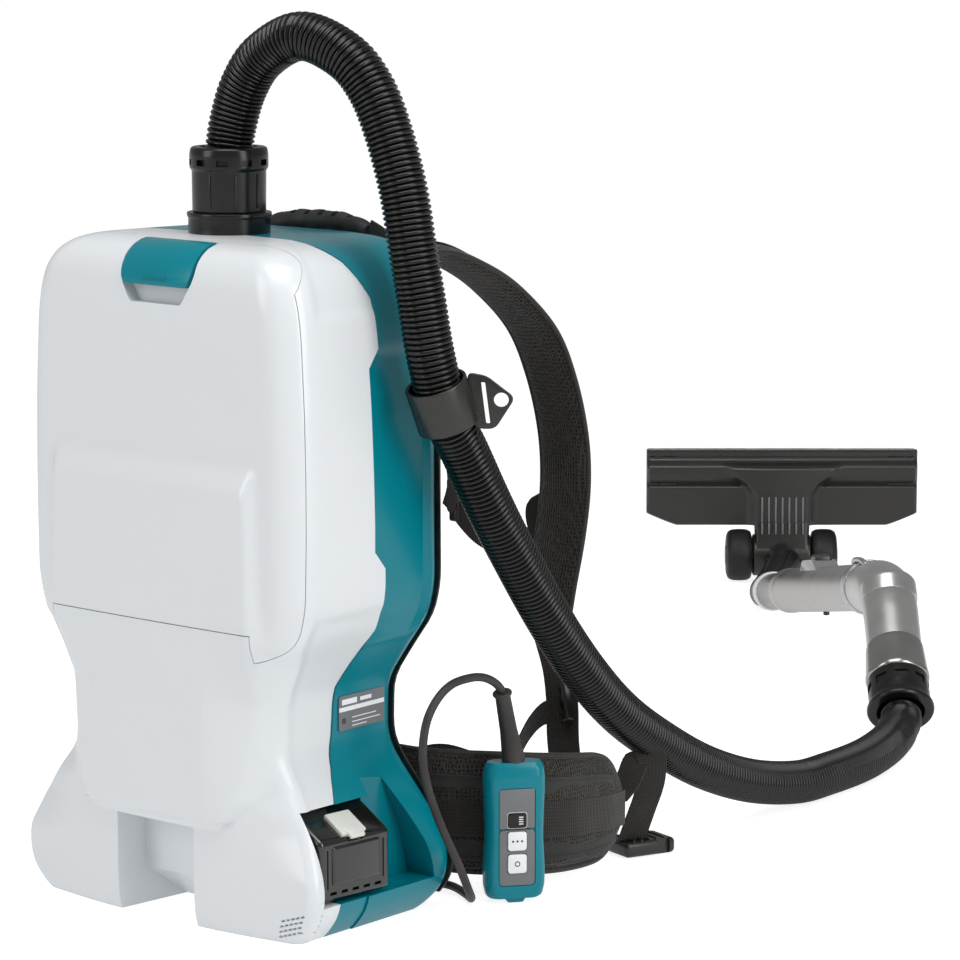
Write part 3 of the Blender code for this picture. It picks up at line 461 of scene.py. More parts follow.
def webbing(name, points, across, half, thickness, replaces=()):
    """A flat strap of one width along a smooth route. It gives the piece and the route."""
    path = smooth_route(points, ROUTE_STEP)
    strip = band(name, path, [across] * len(path), webbing_section(half, thickness))
    return finish(strip, "webbing", replaces, 50), path


def handed(points, sign):
    """The right side's points, or their mirror image for sign -1."""
    return [(sign * point[0], *point[1:]) for point in points]


# --- Materials ---
class Paint:
    """A small builder of procedural materials on the Principled shader."""

    def __init__(self, name, colour, roughness, metallic=0.0, coat=0.0, specular=0.5):
        self.material = bpy.data.materials.new(name)
        self.material.use_nodes = True
        self.tree = self.material.node_tree
        self.shader = self.tree.nodes["Principled BSDF"]
        self.set("Base Color", (*colour, 1.0))
        self.set("Roughness", roughness)
        self.set("Metallic", metallic)
        self.set("Coat Weight", coat)
        self.set("Coat Roughness", 0.06)
        self.set("Specular IOR Level", specular)
        self.height = None
        self.material.diffuse_color = (*colour, 1.0)

    def set(self, socket, value):
        self.shader.inputs[socket].default_value = value

    def node(self, kind, **settings):
        node = self.tree.nodes.new("ShaderNode" + kind)
        for key, value in settings.items():
            setattr(node, key, value)
        return node

    def link(self, start, end):
        self.tree.links.new(start, end)

    def place(self, scale=(1, 1, 1), uv=False):
        """Coordinates in metres: the piece's own, or along and across a strap."""
        source = self.node("TexCoord")
        mapping = self.node("Mapping")
        mapping.inputs["Scale"].default_value = scale
        self.link(source.outputs["UV" if uv else "Object"], mapping.inputs["Vector"])
        return mapping.outputs["Vector"]

    def noise(self, scale, detail):
        texture = self.node("TexNoise")
        texture.inputs["Scale"].default_value = scale
        texture.inputs["Detail"].default_value = detail
        self.link(self.place(), texture.inputs["Vector"])
        return texture.outputs["Fac"]

    def remap(self, value, low, high, new_low, new_high):
        node = self.node("MapRange")
        for key, number in (("From Min", low), ("From Max", high), ("To Min", new_low), ("To Max", new_high)):
            node.inputs[key].default_value = number
        self.link(value, node.inputs["Value"])
        return node.outputs["Result"]

    def cloud(self, scale, detail, low, high):
        """Soft patches between two values."""
        return self.remap(self.noise(scale, detail), 0.3, 0.7, low, high)

    def times(self, first, second):
        return self.sum(first, second, "MULTIPLY")

    def sum(self, first, second, operation="ADD"):
        node = self.node("Math", operation=operation)
        for socket, value in zip(node.inputs, (first, second)):
            if isinstance(value, (int, float)):
                socket.default_value = value
            else:
                self.link(value, socket)
        return node.outputs["Value"]

    def tint(self, factor, dark, light):
        """Base colour between two colours by factor."""
        mix = self.node("Mix", data_type="RGBA")
        mix.inputs["A"].default_value = (*dark, 1.0)
        mix.inputs["B"].default_value = (*light, 1.0)
        self.link(factor, mix.inputs["Factor"])
        self.link(mix.outputs["Result"], self.shader.inputs["Base Color"])
        return mix

    def clouded(self, mix, amount, cloud):
        """The colour of a mix, darkened and lightened in soft patches."""
        patches = self.node("Mix", data_type="RGBA", blend_type="MULTIPLY")
        patches.inputs["Factor"].default_value = amount
        self.link(mix.outputs["Result"], patches.inputs["A"])
        grey = self.node("CombineColor")
        for channel in ("Red", "Green", "Blue"):
            self.link(cloud, grey.inputs[channel])
        self.link(grey.outputs["Color"], patches.inputs["B"])
        self.link(patches.outputs["Result"], self.shader.inputs["Base Color"])

    def rough(self, factor, low, high):
        self.link(self.remap(factor, 0.3, 0.7, low, high), self.shader.inputs["Roughness"])

    def bump(self, height, distance, strength=1.0):
        node = self.node("Bump")
        node.inputs["Strength"].default_value = strength
        node.inputs["Distance"].default_value = distance
        self.link(height, node.inputs["Height"])
        if self.height is not None:
            self.link(self.height, node.inputs["Normal"])
        self.height = node.outputs["Normal"]
        self.link(self.height, self.shader.inputs["Normal"])


def scaled(colour, factor):
    return tuple(min(channel * factor, 1.0) for channel in colour)


def edge_wear(paint, amount):
    """Convex edges rubbed lighter, in patches."""
    geometry = paint.node("NewGeometry")
    edge = paint.remap(geometry.outputs["Pointiness"], 0.53, 0.62, 0.0, 1.0)
    patches = paint.remap(paint.noise(90.0, 4.0), 0.42, 0.62, 0.0, 1.0)
    return paint.times(paint.times(edge, patches), amount)


def moulded(name, colour, roughness, grain=0.0, coat=0.0, variation=0.04, wear=0.25, specular=0.5, peel=1.0):
    """Moulded plastic: faint flow marks and orange peel, fine grain, uneven gloss and rubbed edges."""
    paint = Paint(name, colour, roughness, coat=coat, specular=specular)
    cloud = paint.noise(14.0, 4.0)
    mix = paint.tint(paint.remap(cloud, 0.3, 0.7, 0.0, 1.0), scaled(colour, 1 - variation),
                     scaled(colour, 1 + variation))
    if wear:
        rub = paint.node("Mix", data_type="RGBA")
        paint.link(mix.outputs["Result"], rub.inputs["A"])
        rub.inputs["B"].default_value = (*scaled([channel * 0.9 + 0.05 for channel in colour], 1.25), 1.0)
        paint.link(edge_wear(paint, wear), rub.inputs["Factor"])
        paint.link(rub.outputs["Result"], paint.shader.inputs["Base Color"])
    paint.rough(paint.noise(55.0, 5.0), roughness * (1 - 0.12 * peel), roughness * (1 + 0.14 * peel))
    paint.bump(paint.noise(160.0, 2.0), 0.00002 * peel, 0.2)
    if grain:
        paint.bump(paint.noise(2400.0, 2.0), grain, 0.5)
    return paint.material


def brushed(name, colour, roughness, direction):
    """Drawn metal: fine lines along one direction, and smudges."""
    paint = Paint(name, colour, roughness, metallic=1.0)
    turn = paint.node("VectorRotate", rotation_type="EULER_XYZ", invert=True)
    turn.inputs["Rotation"].default_value = turned_to((0, 0, 0), direction).to_euler()
    paint.link(paint.place(), turn.inputs["Vector"])
    stretch = paint.node("Mapping")
    stretch.inputs["Scale"].default_value = (1.0, 1.0, 0.02)
    paint.link(turn.outputs["Vector"], stretch.inputs["Vector"])
    lines = paint.node("TexNoise")
    lines.inputs["Scale"].default_value = 1500.0
    lines.inputs["Detail"].default_value = 4.0
    paint.link(stretch.outputs["Vector"], lines.inputs["Vector"])
    smudge = paint.noise(22.0, 3.0)
    paint.tint(paint.remap(smudge, 0.3, 0.7, 0.0, 1.0), scaled(colour, 0.9), scaled(colour, 1.06))
    paint.rough(smudge, roughness * 0.85, roughness * 1.2)
    paint.bump(lines.outputs["Fac"], 0.000002, 0.2)
    return paint.material


def rubbery(name, colour, roughness):
    paint = Paint(name, colour, roughness, specular=0.35)
    paint.tint(paint.cloud(30.0, 4.0, 0.0, 1.0), scaled(colour, 0.8),
               scaled(colour, 1.5))
    paint.rough(paint.noise(70.0, 4.0), roughness * 0.85, roughness * 1.15)
    paint.bump(paint.noise(1300.0, 3.0), 0.0001, 0.5)
    return paint.material


MESH_CELL = 0.0024


def spacer_mesh(name, colour, thread):
    """Padded knitted mesh: open cells between raised threads."""
    paint = Paint(name, colour, 0.85, specular=0.25)
    cells = paint.node("TexVoronoi", feature="DISTANCE_TO_EDGE")
    cells.inputs["Scale"].default_value = 1 / MESH_CELL
    cells.inputs["Randomness"].default_value = 0.35
    paint.link(paint.place((1.0, 1.0, 0.72)), cells.inputs["Vector"])
    ridge = paint.remap(cells.outputs["Distance"], 0.02, 0.22, 1.0, 0.0)
    mix = paint.tint(ridge, colour, thread)
    paint.clouded(mix, 1.0, paint.cloud(26.0, 5.0, 0.7, 1.25))
    paint.set("Sheen Weight", 0.25)
    paint.set("Sheen Roughness", 0.4)
    paint.bump(ridge, 0.0007, 0.8)
    paint.bump(paint.noise(3500.0, 2.0), 0.00015, 0.4)
    return paint.material


def woven(name, colour, thread, pitch, across):
    """Webbing: a plain weave in rows along the strap."""
    paint = Paint(name, colour, 0.78, specular=0.3)
    along = paint.node("TexWave", wave_type="BANDS", bands_direction="X")
    along.inputs["Scale"].default_value = 1 / pitch / 6.5
    along.inputs["Distortion"].default_value = 0.6
    along.inputs["Detail Scale"].default_value = 2.0
    side = paint.node("TexWave", wave_type="BANDS", bands_direction="Y")
    side.inputs["Scale"].default_value = 1 / across / 6.5
    side.inputs["Distortion"].default_value = 0.4
    place = paint.place(uv=True)
    paint.link(place, along.inputs["Vector"])
    paint.link(place, side.inputs["Vector"])
    weave = paint.sum(paint.times(along.outputs["Fac"], 0.6), paint.times(side.outputs["Fac"], 0.4))
    mix = paint.tint(weave, colour, thread)
    paint.clouded(mix, 0.8, paint.cloud(35.0, 5.0, 0.65, 1.2))
    paint.set("Sheen Weight", 0.3)
    paint.set("Sheen Roughness", 0.45)
    paint.bump(weave, 0.0004, 0.8)
    return paint.material


def cloth_weave(name, colour, thread):
    """Smooth packcloth: a fine weave in the piece's own coordinates, with faint creases."""
    paint = Paint(name, colour, 0.7, specular=0.35)
    fine = paint.node("TexChecker")
    fine.inputs["Scale"].default_value = 1400.0
    paint.link(paint.place(), fine.inputs["Vector"])
    paint.tint(paint.cloud(30.0, 6.0, 0.0, 1.0), colour, thread)
    paint.set("Sheen Weight", 0.2)
    paint.bump(fine.outputs["Fac"], 0.00012, 0.5)
    paint.bump(paint.noise(60.0, 4.0), 0.0012, 0.35)
    return paint.material


M = {}


def make_materials():
    M["white"] = moulded("white_abs", (0.74, 0.77, 0.795), 0.26, coat=0.2, variation=0.004, wear=0, peel=0.25)
    M["teal"] = moulded("teal_abs", (0.0, 0.205, 0.26), 0.22, coat=0.05, variation=0.015, wear=0,
                        specular=0.28,
                        peel=0.3)
    M["black"] = moulded("black_abs", (0.0075, 0.007, 0.0065), 0.22, grain=0.00004, variation=0.15,
                         specular=0.42)
    M["satin_black"] = moulded("satin_black_abs", (0.016, 0.015, 0.013), 0.3, variation=0.12, specular=0.6)
    M["gloss_black"] = moulded("gloss_black_abs", (0.006, 0.0058, 0.0055), 0.12, coat=0.6, variation=0.1,
                               wear=0,
                               specular=0.6, peel=0.4)
    M["hose"] = moulded("hose_plastic", (0.0045, 0.0048, 0.004), 0.2, variation=0.2, wear=0, specular=0.45)
    M["rubber"] = rubbery("black_rubber", (0.016, 0.016, 0.016), 0.55)
    M["soft_rubber"] = rubbery("cable_rubber", (0.035, 0.032, 0.03), 0.48)
    M["tyre"] = rubbery("wheel_rubber", (0.013, 0.012, 0.012), 0.5)
    M["grey_metal"] = brushed("grey_pipe", (0.66, 0.66, 0.65), 0.34, RISE)
    M["dark_metal"] = brushed("dark_cuff", (0.42, 0.42, 0.41), 0.2, RISE)
    M["aluminium"] = brushed("aluminium_tube", (0.54, 0.53, 0.515), 0.32, REACH)
    M["inner_aluminium"] = brushed("inner_tube_metal", (0.38, 0.37, 0.355), 0.28, REACH)
    M["sole"] = brushed("sole_plate", (0.62, 0.62, 0.63), 0.33, NOZZLE_SIDE)
    M["clear_grey"] = moulded("smoky_bracket", (0.2, 0.2, 0.2), 0.18, coat=0.4, variation=0.08)
    M["ivory"] = moulded("off_white_plastic", (0.7, 0.71, 0.66), 0.38, grain=0.00004, variation=0.03)
    M["key"] = moulded("key_plastic", (0.86, 0.87, 0.89), 0.3, variation=0.01, coat=0.2)
    M["grey"] = moulded("grey_panel", (0.155, 0.165, 0.17), 0.42, grain=0.00005, variation=0.04)
    M["label"] = moulded("label_foil", (0.16, 0.17, 0.18), 0.36, grain=0.00002, variation=0.03)
    M["ink"] = moulded("dark_ink", (0.05, 0.052, 0.056), 0.5, variation=0.05)
    M["mesh"] = spacer_mesh("spacer_mesh", (0.009, 0.008, 0.007), (0.05, 0.044, 0.037))
    M["webbing"] = woven("webbing", (0.01, 0.009, 0.008), (0.036, 0.032, 0.028), 0.001, 0.0014)
    M["piping"] = woven("piping", (0.016, 0.014, 0.013), (0.05, 0.045, 0.04), 0.0011, 0.0016)
    M["packcloth"] = cloth_weave("packcloth", (0.013, 0.0125, 0.012), (0.03, 0.029, 0.028))
    M["lining"] = cloth_weave("bag_cloth", (0.48, 0.46, 0.42), (0.62, 0.6, 0.56))
    M["paper"] = cloth_weave("filter_paper", (0.7, 0.69, 0.64), (0.8, 0.79, 0.75))
    M["circuit"] = moulded("circuit_board", (0.01, 0.13, 0.045), 0.35, variation=0.2)
    M["steel"] = brushed("motor_steel", (0.55, 0.55, 0.57), 0.28, (0, 0, 1))
    M["bristle"] = woven("bristles", (0.01, 0.01, 0.01), (0.03, 0.03, 0.03), 0.0009, 0.0009)


def finish(obj, material, replaces=(), angle=35, body="machine"):
    """Material, shading and body of a piece."""
    obj.data.materials.clear()
    obj.data.materials.append(M[material])
    shade(obj, angle)
    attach(obj, body)
    if replaces:
        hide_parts(replaces)
    return obj


# --- Machine body ---
SOFT_BEND = 0.009


def fine_sections(spacing):
    """The body's sections at an even spacing along its front, with each bend softened a little."""
    table = np.array(BODY_SECTIONS)
    run = np.concatenate([[0.0], np.cumsum(np.hypot(np.diff(table[:, 0]), np.diff(table[:, 1])))])
    wanted = np.linspace(0.0, run[-1], round(run[-1] / spacing) + 1)
    soften_by = np.minimum(SOFT_BEND, np.minimum(wanted, run[-1] - wanted))
    columns = []
    for column in table.T:
        values = [np.interp(wanted + soften_by * shift, run, column) for shift in (-1.0, -0.5, 0.0, 0.5, 1.0)]
        columns.append(sum(values) / len(values))
    return np.stack(columns, axis=1)


# half width of the proud panel's edge and the width of its slope, at each height
BIB_EDGE = [(0.08, 0.066, 0.006), (0.088, 0.074, 0.009), (0.103, 0.0835, 0.018), (0.125, 0.09, 0.028),
            (0.15, 0.0925, 0.032), (0.187, 0.096, 0.032), (0.234, 0.104, 0.018), (0.262, 0.104, 0.014),
            (0.42, 0.101, 0.014)]


def ridge_height(x, z):
    """How far the door's lower middle and the bib below it stand out from the front."""
    heights = [row[0] for row in BIB_EDGE]
    half = np.interp(z, heights, [row[1] for row in BIB_EDGE])
    width = np.interp(z, heights, [row[2] for row in BIB_EDGE])
    across = ease((half + width - abs(x)) / width)
    lift = RIDGE + 0.0008 * ease((z - 0.2335) / 0.001)
    return lift * across * ease((0.364 - z) / 0.028) * ease((z - 0.078) / 0.01)


def side_relief(y, z, rear_shell):
    """How far the side wall stands in from the outline: the housings' shallow steps."""
    if rear_shell:
        band = ease((0.446 - z) / 0.01) * ease((z - 0.212) / 0.016)
        return 0.0045 * band * ease((0.078 - y) / 0.006)
    panel = ease((y + 0.06) / 0.005) * ease((0.476 - z) / 0.008) * ease((z - 0.238) / 0.01)
    return 0.0017 * (1 - panel) * ease((y + 0.072) / 0.006)


# how far the front face falls back towards its outer corners, at each height
FALL_BACK = [(0.0, 0.008), (0.048, 0.008), (0.08, 0.0165), (0.097, 0.0185), (0.112, 0.022), (0.18, 0.02),
             (0.206, 0.01), (0.226, 0.0)]
FALL_START = 0.058


def fall_back(x, half, z):
    depth = np.interp(z, [row[0] for row in FALL_BACK], [row[1] for row in FALL_BACK])
    share = min(max((abs(x) - FALL_START) / (half - FALL_START), 0.0), 1.0)
    return float(depth) * share ** 1.25


def body_ring(section, inset, fine, rear_shell=False):
    """One level outline of the machine, drawn in by inset."""
    z, half, front, rear, front_radius, rear_radius = section
    half -= inset
    front += inset
    rear -= inset
    front_radius = max(front_radius - inset, 0.004)
    rear_radius = max(rear_radius - inset, 0.003)
    front_steps, corner_steps, side_steps = (46, 12, 26) if fine else (14, 5, 5)
    side = []
    for step in range(front_steps + 1):
        x = (half - front_radius) * step / front_steps
        crown = CROWN * (1 - (x / half) ** 2)
        side.append((x, front - crown - ridge_height(x, z) + fall_back(x, half, z)))
    edge = CROWN * (1 - ((half - front_radius) / half) ** 2)
    for step in range(1, corner_steps + 1):
        angle = pi / 2 * step / corner_steps
        fade = 1 - step / corner_steps
        x = half - front_radius * (1 - sin(angle))
        y = front + front_radius * (1 - cos(angle)) - edge * fade
        side.append((x, y - ridge_height(x, z) + fall_back(x, half, z)))
    start = front + front_radius + fall_back(half, half, z)
    for step in range(1, side_steps):
        y = start + (rear - rear_radius - start) * step / side_steps
        side.append((half - (side_relief(y, z, rear_shell) if fine else 0.0), y))
    for step in range(6):
        angle = pi / 2 * step / 5
        x = half - rear_radius * (1 - cos(angle))
        side.append((x, rear - rear_radius * (1 - sin(angle))))
    for part in (0.66, 0.33, 0.0):
        side.append(((half - rear_radius) * part, rear))
    depth = rear - front
    side = [(x - TAPER * (x / half) * max(0.0, (y - front) / depth), y) for x, y in side]
    left = [(-x, y) for x, y in reversed(side[1:-1])]
    return [Vector((x, y, z)) for x, y in side + left]


def body_solid(name, inset=0.0, fine=True, rear_shell=False):
    sections = fine_sections(0.0035) if fine else fine_sections(0.01)
    rings = []
    for i, section in enumerate(sections):
        ring = body_ring(section, inset, fine, rear_shell)
        if inset and i == 0:
            ring = [point + Vector((0, 0, inset)) for point in ring]
        if inset and section[0] > 0.5:
            ring = [point - Vector((0, 0, inset * ease((section[0] - 0.5) / 0.02))) for point in ring]
        rings.append(ring)
    top = rings[-1]
    centre = sum(top, Vector()) / len(top)
    for scale, rise in ((0.72, 0.0004), (0.4, 0.0006), (0.12, 0.0007)):
        rings.append([centre + (point - centre) * scale + Vector((0, 0, rise)) for point in top])
    return grid_solid(name, rings)


def grown_box(name, corners, growth):
    low = Vector(corners[0]) - Vector((growth, growth, growth))
    high = Vector(corners[1]) + Vector((growth, growth, growth))
    return box(name, low, high)


def mirrored_corners(corners):
    low, high = corners
    return ((-high[0], *low[1:]), (-low[0], *high[1:]))


def door_region(name, gap):
    """The space that the cover fills, with its rounded lower corners at both sides."""
    bottom = HINGE.z - 0.0035 - gap
    outline = [
        (-0.2, bottom), (DOOR_REAR + gap, bottom), (DOOR_REAR + gap, 0.49), (-0.06 + gap, 0.506),
        (-0.056 + gap, 0.512), (-0.056 + gap, 0.6), (-0.2, 0.6),
    ]
    region = side_prism(name, outline, -0.2, 0.2)
    radius = DOOR_CORNER + gap
    inner = DOOR_HALF - gap
    corner = [(-0.2, HINGE.z + 0.01), (HINGE.y + radius, HINGE.z + 0.01)]
    for step in range(25):
        angle = pi / 2 * step / 24
        corner.append((HINGE.y + radius * cos(angle), HINGE.z - radius * sin(angle)))
    corner.append((-0.2, HINGE.z - radius))
    right = side_prism(name + "_right_corner", corner, inner, 0.21)
    left = side_prism(name + "_left_corner", corner, -0.21, -inner)
    return combine(region, [right, left], "UNION")


def half_space(name, gap, rear=False):
    line = [(y + (gap if rear else -gap), z) for y, z in SPLIT]
    ends = [(0.3, 0.6), (0.3, -0.05)] if rear else [(-0.3, 0.6), (-0.3, -0.05)]
    return side_prism(name, line + ends, -0.2, 0.2)


def bay_hollow(name, side, growth):
    outline = [(y + (growth if y > 0.02 else -growth), z + growth * (1 if z > 0.05 else -1)) for y,
               z in BAY_HOLLOW]
    low = BAY_HOLLOW_DEPTH - growth
    return side_prism(name, outline, low, 0.2) if side == "right" else side_prism(name, outline, -0.2, -low)


NOTCH = [(-0.15, 0.079), (-0.092, 0.0775), (-0.0625, 0.068), (-0.062, 0.029), (-0.018, -0.001),
         (-0.018, -0.02), (-0.15, -0.02)]
NOTCH_HALF = 0.0425


def body_cavity(name, rear_shell=False):
    """The hollow inside a housing: it leaves the walls of the battery bays and of the front notch."""
    cavity = body_solid(name, WALL, fine=rear_shell, rear_shell=rear_shell)
    cutters = []
    for side, corners in (("right", BAY), ("left", mirrored_corners(BAY))):
        cutters.append(grown_box(f"{name}_{side}_bay_walls", corners, WALL))
        cutters.append(bay_hollow(f"{name}_{side}_hollow_walls", side, WALL))
    walls = [(-0.15, 0.083), (-0.09, 0.0815), (-0.059, 0.072), (-0.059, 0.031), (-0.012, 0.001),
             (-0.012, -0.02), (-0.15, -0.02)]
    cutters.append(side_prism(name + "_notch_walls", walls, -NOTCH_HALF - WALL, NOTCH_HALF + WALL))
    return combine(cavity, cutters)


def vent_slots():
    """Slanted slots through the lower front corner of the right lobe."""
    cutters = []
    for row in range(4):
        for column in range(5):
            x = 0.1235 + 0.006 * column + 0.002 * row
            z = 0.005 + 0.0044 * row + 0.0014 * column
            matrix = Matrix.Translation((x, -0.087 + 0.003 * column, z)) @ Matrix.Rotation(-0.5, 4, "Z")
            matrix = matrix @ Matrix.Rotation(-0.42, 4, "Y")
            cutters.append(box("vent", (-0.0017, -0.02, -0.0008), (0.0017, 0.012, 0.0008), matrix))
    return cutters


def make_sill(front):
    """The teal foot of each side, below the battery bay: part of the front shell in the other colour."""
    for side, sign in SIDES:
        corners = ((0.075, -0.048, -0.01), (0.2, -0.012, 0.0285))
        if sign < 0:
            corners = mirrored_corners(corners)
        sill = bpy.data.objects.new(f"{side}_sill", front.data.copy())
        bpy.context.scene.collection.objects.link(sill)
        combine(sill, [box(f"{side}_sill_region", *corners)], "INTERSECT")
        combine(front, [grown_box(f"{side}_sill_gap", corners, 0.0003)])
        finish(sill, "teal", angle=32)


def make_housings():
    cavity = body_cavity("front_cavity")
    rear_cavity = body_cavity("rear_cavity", rear_shell=True)
    hole_low = INLET + Vector((0, 0, 0.5))

    def bore(name):
        return turned(name, [(0.0262, 0.0), (0.0262, 0.06)], hole_low, (0, 0, 1), closed=False)

    def bays(tag):
        return [grown_box("right_bay" + tag, BAY, 0.0),
                grown_box("left_bay" + tag, mirrored_corners(BAY), 0.0)]

    front = body_solid("front_housing_shell")
    combine(front, [half_space("front_side", SEAM / 2)], "INTERSECT")
    cutters = [door_region("door_opening", 0.0007), cavity, bore("front_bore"), *bays("_front")]
    cutters.append(side_prism("notch", NOTCH, -NOTCH_HALF, NOTCH_HALF))
    cutters += vent_slots()
    combine(front, cutters)
    make_sill(front)
    finish(front, "white", "front_housing", 32)

    rear = body_solid("rear_housing_shell", rear_shell=True)
    combine(rear, [half_space("rear_side", SEAM / 2, rear=True)], "INTERSECT")
    hollows = [bay_hollow(f"{side}_hollow", side, 0.0) for side in ("right", "left")]
    combine(rear, [rear_cavity, bore("rear_bore"), *bays("_rear"), *hollows])
    finish(rear, "teal", "rear_housing", 32)


def latch_outline(half, lower_half, bottom, shoulder):
    """The front view of the latch or of its pocket, about the latch's centre line."""
    c = LATCH_CENTRE
    return [(c - lower_half, bottom), (c + lower_half, bottom), (c + half, shoulder), (c + half, 0.6),
            (c - half, 0.6), (c - half, shoulder)]


def make_cover():
    door = body_solid("front_cover_shell")
    combine(door, [door_region("door_outline", 0.0)], "INTERSECT")
    hollow = body_solid("door_hollow", WALL, fine=False)
    combine(hollow, [side_prism("pocket_wall", LATCH_POCKET_WALL, LATCH_CENTRE - 0.043,
                                LATCH_CENTRE + 0.043)])
    pocket = side_prism("pocket", LATCH_POCKET, -0.2, 0.2)
    outline = rounded(latch_outline(0.04, 0.027, 0.4745, 0.496), 0.006, 5)
    combine(pocket, [prism("pocket_front", outline, -0.14, -0.05, FRONT_VIEW)], "INTERSECT")
    combine(door, [hollow, pocket])
    finish(door, "white", "front_cover", 32, body="cover")


def make_latch():
    outer = [(-0.0925, 0.4895), (-0.0925, 0.4945), (-0.0895, 0.503), (-0.086, 0.509), (-0.0815, 0.5145),
             (-0.076, 0.5185), (-0.0695, 0.5213), (-0.064, 0.5222)]
    inner = [(-0.064, 0.5165), (-0.0695, 0.5155), (-0.076, 0.512), (-0.0815, 0.507), (-0.085, 0.501),
             (-0.0872, 0.4945), (-0.088, 0.4895)]
    latch = side_prism("latch_handle", outer + inner, -0.2, 0.2)
    outline = rounded(latch_outline(0.0378, 0.0335, 0.488, 0.499), 0.004, 4)
    combine(latch, [prism("latch_front", outline, -0.14, -0.05, FRONT_VIEW)], "INTERSECT")
    bevel(latch, 0.0009, 3, 25)
    ridge = box("latch_grip_line", (LATCH_CENTRE - 0.013, -0.0934, 0.4948),
                (LATCH_CENTRE + 0.013, -0.0915, 0.4956))
    combine(latch, [ridge], "UNION")
    finish(latch, "teal", "cover_latch", 30, body="latch")


def make_back_plate():
    rings = []
    for z, half, _, rear, _, _ in fine_sections(0.008):
        if z < 0.008 or z > 0.514:
            continue
        side = half - TAPER - 0.0015
        near = rear + 0.0004
        far = near + BACK_PLATE
        bend = 0.0016
        ring = [(-side, near), (side, near), (side, far - bend), (side - bend, far), (side * 0.5, far),
                (0, far),
                (-side * 0.5, far), (-side + bend, far), (-side, far - bend)]
        rings.append([Vector((x, y, z)) for x, y in ring])
    plate = grid_solid("back_plate_cover", rings)
    finish(plate, "satin_black", "back_plate", 40)
    for index, z in enumerate((0.15, 0.17, 0.19, 0.21)):
        rib = box(f"back_rib_{index}", (-0.07, 0.0755 + 0.0022 * index, z - 0.002), (0.07, 0.084, z + 0.002),
                  width=0.0008)
        finish(rib, "satin_black")


def make_inlet():
    flange = turned("inlet_flange_ring", rounded([
        (0.0326, 0.54), (0.0326, 0.5368), (0.0316, 0.5362), (0.0316, 0.5236), (0.0258, 0.5236), (0.0258, 0.5),
        (0.0232, 0.5), (0.0232, 0.54)], 0.0008), INLET)
    finish(flange, "black", "inlet_flange", 40)
    cuff = turned("swivel_cuff_body", rounded([
        (0.0225, 0.59), (0.028, 0.59), (0.0296, 0.5885), (0.0303, 0.584), (0.0303, 0.574), (0.0286, 0.5718),
        (0.0283, 0.5404), (0.0228, 0.5404)], 0.001), INLET, steps=96)
    slots = []
    for i in range(10):
        turn = Matrix.Translation(INLET) @ Matrix.Rotation(tau * (i + 0.5) / 10, 4, "Z")
        slots.append(box("cuff_slot", (0.0262, -0.0046, 0.5762), (0.04, 0.0046, 0.5808), turn))
    combine(cuff, slots)
    finish(cuff, "black", "swivel_cuff", 40, body="inlet_cuff")
    for i in range(3):
        turn = Matrix.Translation(INLET) @ Matrix.Rotation(radians(-75 + 40 * i), 4, "Z")
        rib = box(f"cuff_rib_{i}", (0.0275, -0.0008, 0.544), (0.0291, 0.0008, 0.57), turn, 0.0003, 2)
        finish(rib, "black", body="inlet_cuff")


def make_inside():
    """What shows when the cover is open or a battery is out."""
    for node, material in (
        ("partition_wall", "satin_black"), ("control_board", "circuit"), ("bag_collar", "grey"),
        ("filter_frame", "grey"), ("exhaust_filter", "paper"), ("motor_housing", "steel"),
        ("motor_shaft", "steel"),
        ("impeller", "satin_black"),
    ):
        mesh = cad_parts[node].data
        mesh.materials.clear()
        mesh.materials.append(M[material])
    low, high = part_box("dust_bag")
    rings = []
    for step in range(25):
        t = step / 24
        z = low.z + (high.z - low.z) * t
        swell = sin(pi * t) ** 0.45 if 0 < t < 1 else 0.0
        pleat = 1.0 - 0.05 * abs(sin(7 * pi * t))
        ring = []
        for i in range(48):
            c, s = squared(tau * i / 48, 0.55, 0.55)
            x = (low.x + high.x) / 2 + (high.x - low.x) / 2 * (0.3 + 0.68 * swell) * c * pleat
            y = (low.y + high.y) / 2 + (high.y - low.y) / 2 * (0.35 + 0.62 * swell) * s * pleat
            ring.append(Vector((x, y, z)))
        rings.append(ring)
    bag = grid_solid("dust_bag_cloth", rings)
    finish(bag, "lining", "dust_bag", 60)


